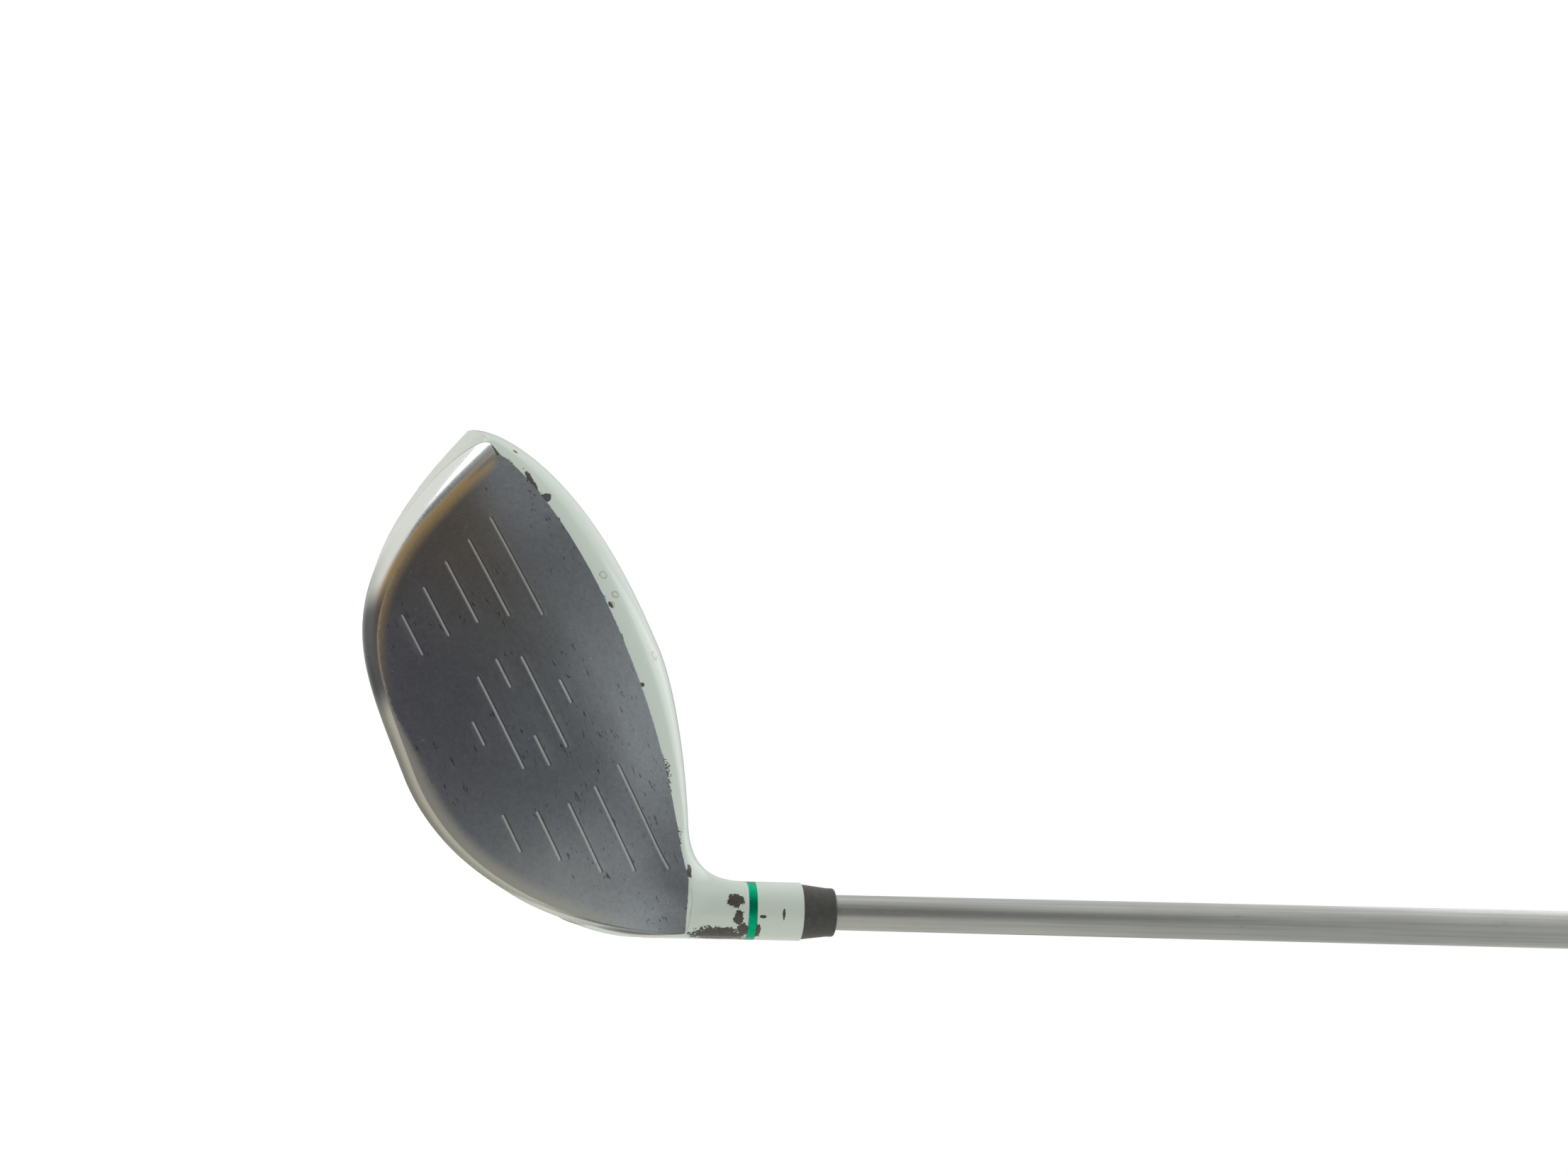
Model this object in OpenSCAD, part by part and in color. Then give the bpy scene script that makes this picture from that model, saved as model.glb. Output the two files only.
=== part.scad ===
// Golf driver with a hollow titanium head, an adjustable shaft sleeve and a rubber grip.
// Frame: origin at the centre of the sole's rest pad on the ground, +Z up, club at address.
// The face looks towards -Y, the toe is towards -X, and the shaft leaves the heel towards +X.

/* [Face] */
// Loft: lean of the face back from the vertical, in degrees
loft = 10.5; // [8:0.5:13]
// Bulge and roll radius of the face
face_radius = 270; // [240:5:350]
// Height of the face centre above the ground
face_height = 29.5; // [28:0.5:31]
// Distance from the face centre back to the sole pad
face_forward = 36; // [34:1:38]
// Thickness of the face plate
face_wall = 3; // [2.5:0.1:3.4]

/* [Head] */
// Front to back depth of the head behind the face centre
head_depth = 112; // [104:1:116]
// Reach of the toe from the face's middle line
toe_reach = 61.2; // [58:0.2:63]
// Reach of the heel corner from the face's middle line
heel_reach = 63.1; // [61:0.1:64]
// Rise of the crown above the chord from toe to heel
crown_rise = 23.5; // [22:0.5:25]
// Height of the tail's edge above the ground
tail_height = 27; // [24:1:30]
// Thickness of the crown, skirt and sole, measured towards the head's middle
shell_wall = 1.6; // [1.3:0.1:2]

/* [Shaft axis] */
// Lie: angle of the shaft axis above the ground, in degrees
lie = 60; // [59:0.5:61]
// Where the shaft axis meets the ground, towards the heel
axis_x = 34.3; // [33:0.1:35]
// Distance of the shaft axis behind the face centre
axis_back = 16; // [15:0.1:17]
// Length of the club from the ground to the grip cap, along the axis
club_length = 1156; // [1100:1:1168]

/* [Hosel and sleeve] */
// Outside radius of the hosel, ring and collar
hosel_r = 6.95; // [6.8:0.05:7.1]
// Distance of the hosel's top from the ground, along the axis
hosel_top = 66.5; // [65:0.1:68]
// Height of the coloured trim ring
ring_h = 2.1; // [1.5:0.1:3]
// Length of the painted collar above the ring
collar_h = 11.5; // [10:0.1:13]
// Length of the ferrule
ferrule_h = 8.5; // [7:0.1:12]
// Number of splines that set the sleeve's turn
spline_count = 12; // [6:6:12]

/* [Shaft and grip] */
// Outside radius of the shaft's tip
tip_r = 4.25; // [4.2:0.05:4.3]
// Outside radius of the shaft's butt
butt_r = 7.6; // [7.3:0.1:7.7]
// Wall of the shaft
shaft_wall = 1.2; // [1:0.1:1.5]
// Length of the grip
grip_length = 268; // [255:1:275]
// Outside radius of the grip at its mouth
grip_mouth_r = 9.6; // [9.3:0.1:10]
// Outside radius of the grip at the butt
grip_butt_r = 13; // [12.6:0.1:14]

/* [Weight] */
// Outside radius of the removable weight
weight_r = 7.4; // [6.5:0.1:8]
// Height of the removable weight
weight_h = 6.5; // [6:0.5:7]

/* [Hidden] */

$fn = 96;
eps = 0.01;

// ---- small maths ----
function mix(a, b, t) = a + (b - a) * t;
function clamped(t) = min(1, max(0, t));
function ease(t) = let(c = clamped(t)) c * c * (3 - 2 * c);
function arc_in(t) = sqrt(1 - pow(1 - clamped(t), 2));
function lens(t, n, e) = pow(max(0, 1 - pow(abs(t), n)), e);

// ---- the face, a bulge and roll surface with a lens outline ----
// The outline runs from the toe corner to the heel corner; s is -1 at the toe and 1 at the heel.
face_y = -face_forward;
mid_x = 1;
toe_v = 26.2;
heel_v = 14.2;
top_rise = 10.8;
sole_drop = 45.8;

function face_point(x, v) = let(w = (x * x + v * v) / (2 * face_radius))
    [x, face_y + v * sin(loft) + w * cos(loft), face_height + v * cos(loft) - w * sin(loft)];
function edge_x(s) = mid_x + s * (s < 0 ? toe_reach : heel_reach);
function edge_v(s, up) = mix(toe_v, heel_v, (s + 1) / 2)
    + (up ? top_rise * (s < 0 ? lens(s, 2.3, 0.78) : lens(s, 1.9, 0.85))
          : -sole_drop * (s < 0 ? lens(s, 4.2, 1.1) : lens(s, 2.05, 0.9)));

// ---- the head's outer surface ----
// a is the angle round the section: 0 heel corner, 90 crown, 180 toe corner, 270 sole.
// g is the way back: 0 at the face's edge and 1 at the tail.
tail_y = face_y + head_depth;
tail_x = -4;
band_width = 7.7;
band_depth = 8;
toe_flare = 5.8;
heel_tuck = 6;
toe_z = 53;
heel_z = 42.5;
edge_rise = 12.4;
pad_gap = 0.6;

function head_x(s, g) = let(
        d = g * head_depth,
        toe = -(toe_reach - mid_x) - band_width * arc_in(d / band_depth) - toe_flare * ease((d - 2) / 20),
        heel = mid_x + heel_reach - heel_tuck * ease(d / 30),
        wide = mid_x + abs(s) * ((s < 0 ? toe : heel) - mid_x),
        close = s < 0 ? lens(g, 2.6, 0.5) : lens(g, 2.2, 0.5))
    tail_x + (wide - tail_x) * close;
function crown_lift(g) = let(d = g * head_depth)
    (edge_rise + (crown_rise - edge_rise) * pow(arc_in(d / 24), 1.15)) * lens(g, 2, 0.55);
function sole_height(g) = let(d = g * head_depth, back = clamped((g - 0.32) / 0.68))
    pad_gap + 3.1 * (1 - arc_in(d / band_depth)) + 0.5 * ease(1 - d / 30)
    + (tail_height - pad_gap) * (1 - lens(back, 2.6, 0.5));
// The section's outline: k is 1 behind the face's edge, and r goes to 1 as the section rounds off.
function crown_shape(s, k, r) = s < 0 ? lens(s, mix(2.3, 2.5, k), mix(mix(0.78, 0.7, k), 0.55, r))
    : lens(s, mix(1.9, 1.65, k), mix(mix(0.85, 0.88, k), 0.55, r));
function sole_shape(s, k, r) = s < 0 ? lens(s, mix(4.2, mix(3.7, 2.6, r), k), mix(mix(1.1, 1.05, k), 0.6, r))
    : lens(s, mix(2.05, mix(1.65, 2.2, r), k), mix(0.9, 0.56, k));
function head_z(s, up, g) = let(
        k = ease(g * head_depth / 14),
        r = ease((g - 0.15) / 0.45),
        toe = mix(toe_z, tail_height, pow(g, 1.3)),
        heel = mix(heel_z, tail_height, pow(g, 1.2)),
        chord = mix(toe, heel, (s + 1) / 2))
    up ? chord + crown_lift(g) * crown_shape(s, k, r)
       : chord - ((toe + heel) / 2 - sole_height(g)) * sole_shape(s, k, r);
function head_point(a, g) = let(
        s = cos(a),
        up = sin(a) >= 0,
        edge = face_point(edge_x(s), edge_v(s, up)),
        shift = edge[2] - head_z(s, up, 0),
        fade = pow(1 - clamped(g * head_depth / 25), 2))
    [head_x(s, g), mix(edge[1], tail_y, g), head_z(s, up, g) + shift * fade];

// A point of the shell's inner skin, moved towards the middle of the head.
head_core = [-2, 12, 34];
function inward(p, t) = p + (head_core - p) * t / norm(head_core - p);
function inner_point(a, g) = inward(head_point(a, g), shell_wall);

// The face cup's rim: its return is deep round the toe and sole, and shallow under the crown.
crown_lip = 5;
function rim(a) = mix(band_depth, crown_lip, ease(2 * sin(a))) / head_depth;

// ---- meshes ----
// Steps round the section and towards the tail.
round_steps = 40;
back_steps = 20;
function angle_at(first, i) = first + 180 * i / round_steps;
function back_at(a, j) = let(t = j / back_steps) mix(rim(a), 1, 1 - pow(1 - pow(t, 1.25), 1.7));

// A piece of the head's shell: cells i0 to i1 round the section and j0 to j1 towards the tail, from
// angle first, less the cells of hole = [i0, i1, j0, j1]. The outer grid comes first, then the inner.
module shell_piece(first, i0, i1, j0, j1, hole = [0, 0, 0, 0]) {
    rows = j1 - j0 + 1;
    side = (i1 - i0 + 1) * rows;
    grid = [for (i = [i0:i1], j = [j0:j1]) [angle_at(first, i), j]];
    outer = [for (c = grid) head_point(c[0], back_at(c[0], c[1]))];
    inner = [for (c = grid) inner_point(c[0], back_at(c[0], c[1]))];
    function at(i, j) = (i - i0) * rows + j - j0;
    function kept(i, j) = i >= i0 && i < i1 && j >= j0 && j < j1
        && !(i >= hole[0] && i < hole[1] && j >= hole[2] && j < hole[3]);
    function quad(p, q, r, s) = [[p, q, r], [p, r, s]];
    function wall(p, q) = quad(p, q, q + side, p + side);
    cells = [for (i = [i0:i1 - 1], j = [j0:j1 - 1]) if (kept(i, j)) [i, j]];
    faces = [for (c = cells) let(
                i = c[0],
                j = c[1],
                p = at(i, j),
                q = at(i + 1, j),
                r = at(i + 1, j + 1),
                s = at(i, j + 1))
            each concat(
                quad(p, q, r, s),
                quad(p + side, s + side, r + side, q + side),
                kept(i, j - 1) ? [] : wall(q, p),
                kept(i, j + 1) ? [] : wall(s, r),
                kept(i - 1, j) ? [] : wall(p, s),
                kept(i + 1, j) ? [] : wall(r, q))];
    polyhedron(points = concat(outer, inner), faces = faces, convexity = 6);
}

// The face cup: a ring of points for each step of its profile, closed by a point at the front and back.
ring_steps = 72;
cup_middle = [mid_x, 2];
front_rings = [0.3, 0.55, 0.75, 0.9];
back_rings = [0.93, 0.6, 0.3];
function face_ring(f, back) = [for (i = [0:ring_steps - 1]) let(
        a = 360 * i / ring_steps,
        s = cos(a),
        x = mix(cup_middle[0], edge_x(s), f),
        v = mix(cup_middle[1], edge_v(s, sin(a) >= 0), f))
    face_point(x, v) + [0, back, 0]];
function band_ring(part, inside) = [for (i = [0:ring_steps - 1]) let(
        a = 360 * i / ring_steps,
        g = part * rim(a))
    inside ? inner_point(a, g) : head_point(a, g)];
// A closed solid through rings of ring_steps points, with a point at its first and last end.
module ring_solid(rings, first, last) {
    n = ring_steps;
    count = len(rings);
    points = concat([for (r = rings) each r], [first, last]);
    faces = concat(
        [for (i = [0:n - 1]) [count * n, (i + 1) % n, i]],
        [for (k = [0:count - 2], i = [0:n - 1]) let(
                p = k * n + i,
                q = k * n + (i + 1) % n)
            each [[p, q, q + n], [p, q + n, p + n]]],
        [for (i = [0:n - 1]) let(end = (count - 1) * n) [count * n + 1, end + i, end + (i + 1) % n]]);
    polyhedron(points = points, faces = faces, convexity = 6);
}
face_middle = face_point(cup_middle[0], cup_middle[1]);
module cup_solid() {
    rings = concat(
        [for (f = front_rings) face_ring(f, 0)],
        [for (k = [0:4]) band_ring(k / 4, false)],
        [band_ring(1, true), band_ring(0.7, true)],
        [for (f = back_rings) face_ring(f, face_wall)]);
    ring_solid(rings, face_middle, face_middle + [0, face_wall, 0]);
}
// The head as if it were not hollow, for trimming what comes out of its sole.
solid_steps = 18;
module head_solid() {
    body = [for (k = [0:solid_steps - 1]) let(g = 1 - pow(1 - k / solid_steps, 1.7))
        [for (i = [0:ring_steps - 1]) head_point(360 * i / ring_steps, g)]];
    ring_solid(concat([for (f = front_rings) face_ring(f, 0)], body), face_middle,
        [tail_x, tail_y, tail_height]);
}

// ---- placing ----
// Children are drawn with +Z along the shaft axis, from its crossing with the ground.
module on_axis(up = 0) {
    translate([axis_x, face_y + axis_back, 0]) rotate([0, 90 - lie, 0]) translate([0, 0, up]) children();
}
// Children are drawn with +Z out of the weight port, from the port's mouth.
port_place = [-4, 50, 5.9];
port_lean = 16;
module at_port(out = 0) {
    translate(port_place) rotate([180 + port_lean, 0, 0]) translate([0, 0, out]) children();
}
module tube(r, hole, h) {
    difference() {
        cylinder(r = r, h = h);
        translate([0, 0, -1]) cylinder(r = hole, h = h + 2);
    }
}

// ---- head ----
port_r = weight_r + 1.3;
pad_r = 10;
module head_holes() {
    on_axis(-10) cylinder(r = hosel_r, h = hosel_top + 20);
    at_port(-20) cylinder(r = port_r, h = 30);
    translate([0, 0, -1]) cylinder(r = pad_r, h = 6);
}
// Cells of the lower shell that the sole plate fills.
sole_cells = [9, 31, 3, 15];

module face_cup() {
    color("#8d8e90") difference() {
        cup_solid();
        on_axis(-10) cylinder(r = hosel_r, h = hosel_top + 20);
        on_axis(25) translate([0, -hosel_r, 0]) cube([20, 2 * hosel_r, 40]);
    }
}
module crown() {
    color("#eef3ee") difference() {
        shell_piece(0, 0, round_steps, 0, back_steps);
        on_axis(-10) cylinder(r = hosel_r, h = hosel_top + 20);
    }
}
module skirt() {
    color("#e6ebe6") difference() {
        shell_piece(180, 0, round_steps, 0, back_steps, sole_cells);
        head_holes();
    }
}
module sole_plate() {
    color("#2b2d30") difference() {
        shell_piece(180, sole_cells[0], sole_cells[1], sole_cells[2], sole_cells[3]);
        head_holes();
    }
}
// The flat pad that the head rests on.
module sole_pad() {
    color("#b9bbbd") cylinder(r = pad_r, h = pad_gap + shell_wall);
}

// ---- hosel, its tube through the head, and the screw from the sole ----
bore_r = 5.75;
tube_top = 46;
screw_port_r = 4.4;
seat_low = 38;
seat_h = 2.4;
spline_h = 3.7;
spline_out = 6.15;
spline_w = 1.2;
flange_r = 6.4;
notch_gap = 0.08;
module splines(r, w, h) {
    for (k = [0:spline_count - 1]) rotate([0, 0, 360 * k / spline_count])
        translate([bore_r - 1, -w / 2, 0]) cube([r - bore_r + 1, w, h]);
}
module hosel() {
    color("#f0f4f0") on_axis(tube_top) difference() {
        tube(hosel_r, bore_r, hosel_top - tube_top);
        translate([0, 0, hosel_top - tube_top - spline_h])
            splines(spline_out + notch_gap, spline_w + 2 * notch_gap, spline_h + 1);
    }
}
// The tube runs through the head, and below the screw's seat the sole trims it.
module hosel_tube() {
    color("#9b9da0") difference() {
        union() {
            on_axis(seat_low) cylinder(r = hosel_r, h = tube_top - seat_low);
            intersection() {
                on_axis(-10) cylinder(r = hosel_r, h = seat_low + 10 + eps);
                head_solid();
            }
        }
        on_axis(seat_low + seat_h) cylinder(r = bore_r, h = tube_top);
        on_axis(-10) cylinder(r = screw_port_r, h = seat_low + seat_h + 10 + eps);
    }
}
screw_r = 2.45;
screw_hole_r = 2.8;
module screw_seat() {
    color("#85878a") on_axis(seat_low) tube(screw_port_r, screw_hole_r, seat_h);
}
washer_h = 1;
flat_gap = 0.02;
head_h = 4.5;
screw_head_r = 3.9;
screw_end = 54;
module screw_washer() {
    color("#c9cbce") on_axis(seat_low - washer_h + flat_gap)
        tube(screw_head_r + 0.2, screw_r + 0.08, washer_h - 2 * flat_gap);
}
// A cap screw drawn with its head's underside at 0 and its shank towards +Z.
module cap_screw(head_r, head_height, shank, socket_r) {
    difference() {
        union() {
            translate([0, 0, -head_height]) cylinder(r = head_r, h = head_height);
            translate([0, 0, -eps]) cylinder(r = screw_r, h = shank + eps);
        }
        translate([0, 0, -head_height - 1]) cylinder(r = socket_r, h = head_height * 0.6 + 1, $fn = 6);
    }
}
module hosel_screw() {
    color("#3a3c3f") on_axis(seat_low - washer_h)
        cap_screw(screw_head_r, head_h, screw_end - seat_low + washer_h, 2.3);
}

// ---- removable weight in the sole ----
port_depth = 10;
thread_gap = 0.06;
module weight_port() {
    color("#8b8d90") at_port(-port_depth) difference() {
        cylinder(r = port_r, h = port_depth);
        translate([0, 0, port_depth - weight_h - 0.5]) cylinder(r = weight_r + thread_gap, h = port_depth);
        translate([0, 0, -1]) cylinder(r = screw_r + thread_gap, h = port_depth);
    }
}
weight_head_r = 4;
weight_head_h = 3;
module weight_cartridge() {
    color("#34363a") at_port(-weight_h - 0.5) difference() {
        cylinder(r = weight_r, h = weight_h);
        translate([0, 0, -1]) cylinder(r = screw_r + 0.08, h = weight_h + 2);
        translate([0, 0, weight_h - weight_head_h - 0.2]) cylinder(r = weight_head_r + 0.3, h = weight_h);
    }
}
module weight_screw() {
    color("#b4b6b9") at_port(-weight_head_h - 0.7) rotate([180, 0, 0])
        cap_screw(weight_head_r, weight_head_h, port_depth - weight_head_h - 1.2, 1.9);
}

// ---- sleeve and shaft ----
collar_low = hosel_top + ring_h;
collar_top = collar_low + collar_h;
ferrule_top = collar_top + ferrule_h;
barrel_low = 43;
barrel_r = 5.65;
socket_low = 56;
socket_r = tip_r + 0.05;
module trim_ring() {
    color("#00a56e") on_axis(hosel_top + 0.02) tube(hosel_r, flange_r + 0.06, ring_h - 0.04);
}
module sleeve_barrel() {
    color("#a9abae") on_axis() difference() {
        union() {
            translate([0, 0, barrel_low]) cylinder(r = barrel_r, h = collar_low - barrel_low);
            translate([0, 0, hosel_top - spline_h + 0.1]) splines(spline_out, spline_w, spline_h + 0.5);
            translate([0, 0, hosel_top]) cylinder(r = flange_r, h = ring_h);
        }
        translate([0, 0, socket_low]) cylinder(r = socket_r, h = collar_low);
        translate([0, 0, barrel_low - 1]) cylinder(r = screw_r + thread_gap, h = screw_end - barrel_low + 2);
    }
}
module sleeve_collar() {
    color("#f2f5f2") on_axis(collar_low) tube(hosel_r, socket_r, collar_h);
}
// The ferrule narrows towards the shaft and ends in a small rounded lip.
module ferrule() {
    lip = 0.9;
    lip_r = 5.85;
    color("#6a6760") on_axis(collar_top) rotate_extrude() {
        polygon([[socket_r, 0], [6.65, 0], [lip_r, ferrule_h - 1.9], [lip_r, ferrule_h - lip],
            [socket_r, ferrule_h - lip]]);
        translate([lip_r - lip, ferrule_h - lip]) intersection() {
            circle(r = lip);
            square(lip);
        }
        translate([socket_r, ferrule_h - lip - eps]) square([lip_r - lip - socket_r + eps, lip + eps]);
    }
}
// The shaft is a thin tube of two cones, quicker to widen near its tip.
tip_start = 56.5;
knee = 588;
knee_r = 6.15;
shaft_end = club_length - 6;
module shaft() {
    color("#9c9ea0") on_axis() rotate_extrude() polygon([
        [tip_r, tip_start], [tip_r, ferrule_top], [knee_r, knee], [butt_r, shaft_end],
        [butt_r - shaft_wall, shaft_end], [knee_r - shaft_wall, knee],
        [tip_r - shaft_wall, ferrule_top], [tip_r - shaft_wall, tip_start]]);
}
// A plug that keeps glue out of the shaft.
module tip_plug() {
    color("#d8d2b8") on_axis(tip_start + 5) cylinder(r = tip_r - shaft_wall - 0.02, h = 10);
}

// ---- grip ----
grip_low = club_length - grip_length;
tape_t = 0.35;
cap_h = 3.5;
function shaft_r(w) = mix(knee_r, butt_r, (w - knee) / (shaft_end - knee));
module grip_tape() {
    color("#d9cfa8") on_axis() rotate_extrude() polygon([
        [shaft_r(grip_low + 2), grip_low + 2], [shaft_r(grip_low + 2) + tape_t, grip_low + 2],
        [butt_r + tape_t, shaft_end], [butt_r, shaft_end]]);
}
module grip() {
    lip = 1.2;
    low_r = shaft_r(grip_low) + tape_t;
    color("#1d1e20") on_axis() rotate_extrude() polygon([
        [low_r, grip_low], [grip_mouth_r - lip, grip_low], [grip_mouth_r, grip_low + lip],
        [grip_butt_r - 0.8, shaft_end - 28], [grip_butt_r, shaft_end - 6],
        [grip_butt_r, club_length - cap_h], [butt_r + tape_t, club_length - cap_h],
        [butt_r + tape_t, shaft_end], [shaft_r(grip_low + 2) + tape_t, grip_low + 2]]);
}
vent_r = 1.6;
module grip_cap() {
    edge = 1.2;
    color("#222325") on_axis(club_length - cap_h) rotate_extrude() polygon([
        [vent_r, 0], [grip_butt_r, 0], [grip_butt_r, cap_h - edge], [grip_butt_r - edge, cap_h],
        [vent_r, cap_h]]);
}

face_cup();
crown();
skirt();
sole_plate();
sole_pad();
hosel();
hosel_tube();
screw_seat();
weight_port();
weight_cartridge();
weight_screw();
hosel_screw();
screw_washer();
trim_ring();
sleeve_barrel();
sleeve_collar();
ferrule();
shaft();
tip_plug();
grip_tape();
grip();
grip_cap();
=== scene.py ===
"""A golf driver: grooved face, white painted head and neck, adjustable sleeve, shaft and rubber grip."""

import math

import bmesh
import bpy
import numpy as np
from mathutils import Matrix, Vector, geometry
from mathutils.bvhtree import BVHTree


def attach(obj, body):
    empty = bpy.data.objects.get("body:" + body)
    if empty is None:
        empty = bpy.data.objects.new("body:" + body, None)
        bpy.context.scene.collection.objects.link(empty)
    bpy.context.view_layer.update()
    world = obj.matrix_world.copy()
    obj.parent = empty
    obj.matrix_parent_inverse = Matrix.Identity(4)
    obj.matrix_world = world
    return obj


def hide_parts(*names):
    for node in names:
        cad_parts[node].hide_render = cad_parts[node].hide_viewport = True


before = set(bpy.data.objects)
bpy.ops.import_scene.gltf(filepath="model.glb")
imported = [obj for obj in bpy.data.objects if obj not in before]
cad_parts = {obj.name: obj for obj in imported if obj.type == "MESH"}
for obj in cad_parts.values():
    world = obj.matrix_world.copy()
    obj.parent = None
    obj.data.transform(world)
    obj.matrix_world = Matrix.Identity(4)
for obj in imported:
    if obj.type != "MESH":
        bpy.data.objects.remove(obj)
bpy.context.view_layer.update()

MM = 0.001

# The head's surface, in millimetres, as the solids have it
LOFT = math.radians(10.5)
FACE_RADIUS = 270.0
FACE_HEIGHT = 29.5
FACE_Y = -36.0
DEPTH = 112.0
TAIL = np.array([-4.0, FACE_Y + DEPTH, 27.0])
MID_X, TOE_REACH, HEEL_REACH = 1.0, 61.2, 63.1
BAND_DEPTH = 8.0
SHELL = 1.6
CORE = np.array([-2.0, 12.0, 34.0])


def mix(a, b, t):
    return a + (b - a) * t


def ease(t):
    c = np.clip(t, 0, 1)
    return c * c * (3 - 2 * c)


def arc_in(t):
    return np.sqrt(1 - (1 - np.clip(t, 0, 1)) ** 2)


def lens(t, n, e):
    return np.power(np.maximum(0, 1 - np.abs(t) ** n), e)


def face_point(x, v):
    w = (x * x + v * v) / (2 * FACE_RADIUS)
    y = FACE_Y + v * math.sin(LOFT) + w * math.cos(LOFT)
    z = FACE_HEIGHT + v * math.cos(LOFT) - w * math.sin(LOFT)
    return np.stack([x, y, z], -1)


def edge_x(s):
    return MID_X + s * np.where(s < 0, TOE_REACH, HEEL_REACH)


def edge_v(s, up):
    rise = 10.8 * np.where(s < 0, lens(s, 2.3, 0.78), lens(s, 1.9, 0.85))
    drop = 45.8 * np.where(s < 0, lens(s, 4.2, 1.1), lens(s, 2.05, 0.9))
    return mix(26.2, 14.2, (s + 1) / 2) + np.where(up, rise, -drop)


def head_x(s, g):
    d = g * DEPTH
    toe = MID_X - TOE_REACH - 7.7 * arc_in(d / BAND_DEPTH) - 5.8 * ease((d - 2) / 20)
    heel = MID_X + HEEL_REACH - 6 * ease(d / 30)
    wide = MID_X + np.abs(s) * (np.where(s < 0, toe, heel) - MID_X)
    close = np.where(s < 0, lens(g, 2.6, 0.5), lens(g, 2.2, 0.5))
    return TAIL[0] + (wide - TAIL[0]) * close


def head_z(s, up, g):
    d = g * DEPTH
    k = ease(d / 14)
    r = ease((g - 0.15) / 0.45)
    toe = mix(53.0, TAIL[2], np.power(g, 1.3))
    heel = mix(42.5, TAIL[2], np.power(g, 1.2))
    chord = mix(toe, heel, (s + 1) / 2)
    lift = (12.4 + 11.1 * arc_in(d / 24) ** 1.15) * lens(g, 2, 0.55)
    back = np.clip((g - 0.32) / 0.68, 0, 1)
    sole = 0.6 + 3.1 * (1 - arc_in(d / BAND_DEPTH)) + 0.5 * ease(1 - d / 30)
    sole = sole + (TAIL[2] - 0.6) * (1 - lens(back, 2.6, 0.5))
    crown_toe = lens(s, mix(2.3, 2.5, k), mix(mix(0.78, 0.7, k), 0.55, r))
    crown_heel = lens(s, mix(1.9, 1.65, k), mix(mix(0.85, 0.88, k), 0.55, r))
    sole_toe = lens(s, mix(4.2, mix(3.7, 2.6, r), k), mix(mix(1.1, 1.05, k), 0.6, r))
    sole_heel = lens(s, mix(2.05, mix(1.65, 2.2, r), k), mix(0.9, 0.56, k))
    above = chord + lift * np.where(s < 0, crown_toe, crown_heel)
    below = chord - ((toe + heel) / 2 - sole) * np.where(s < 0, sole_toe, sole_heel)
    return np.where(up, above, below)


def head_point(a, g):
    """a: 0 heel corner, 90 crown, 180 toe corner, 270 sole. g: 0 at the face's edge, 1 at the tail."""
    a, g = np.broadcast_arrays(np.asarray(a, float), np.asarray(g, float))
    turned = np.mod(a, 360)
    s = np.cos(np.radians(turned))
    up = turned <= 180
    edge = face_point(edge_x(s), edge_v(s, up))
    shift = edge[..., 2] - head_z(s, up, 0 * g)
    fade = (1 - np.clip(g * DEPTH / 25, 0, 1)) ** 2
    return np.stack([head_x(s, g), mix(edge[..., 1], TAIL[1], g), head_z(s, up, g) + shift * fade], -1)


# The neck: the head and the hosel's tube melt into one surface
FOOT = np.array([34.3, -20.0, 0.0])
ALONG = np.array([0.5, 0.0, math.sqrt(0.75)])
DOWN = np.array([math.sqrt(0.75), 0.0, -0.5])
BACK = np.array([0.0, 1.0, 0.0])
HOSEL_R = 6.95
HOSEL_TOP = 66.5
NECK_CORE = FOOT + 46 * ALONG


def around(turn):
    """Unit vectors square to the shaft's axis at these angles round it, from down to back."""
    return np.cos(turn)[:, None] * DOWN + np.sin(turn)[:, None] * BACK


def double_area(loop):
    """Twice the area inside a flat loop, below 0 where the loop runs clockwise."""
    x, y = loop.T
    return np.sum(x * np.roll(y, -1) - np.roll(x, -1) * y)


def grid_faces(rows, columns):
    i, j = np.meshgrid(np.arange(rows - 1), np.arange(columns - 1), indexing="ij")
    p = (i * columns + j).ravel()
    return np.stack([p, p + 1, p + columns + 1, p + columns], -1)


def near_head():
    """A fine closed skin round the heel, for measuring how far a point is from the head."""
    points, faces, count = [], [], 0
    a = np.arange(-110, 130.01, 0.5)
    s = np.cos(np.radians(np.mod(a, 360)))
    up = np.mod(a, 360) <= 180
    f = np.linspace(0.0, 1, 60)[:, None]
    front = face_point(mix(10.0, edge_x(s)[None], f), mix(2.0, edge_v(s, up)[None], f))
    g = (np.linspace(0, 1, 130) ** 1.4 * 0.62)[:, None]
    for block in (front, head_point(a[None], g)):
        points.append(block.reshape(-1, 3))
        faces.append(grid_faces(block.shape[0], block.shape[1]) + count)
        count += block.shape[0] * block.shape[1]
    points = np.concatenate(points)
    quads = np.concatenate(faces)
    return BVHTree.FromPolygons(points.tolist(), quads.tolist())


head_tree = near_head()


def head_distance(points):
    out = np.empty(len(points))
    for i, p in enumerate(points):
        q = Vector(p)
        place, normal, _, far = head_tree.find_nearest(q)
        away = q - place
        outward = (place - Vector(CORE)).dot(normal)
        side = away.dot(normal) * (1 if outward > 0 else -1)
        out[i] = far if side > 0 else -far
    return out


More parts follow.
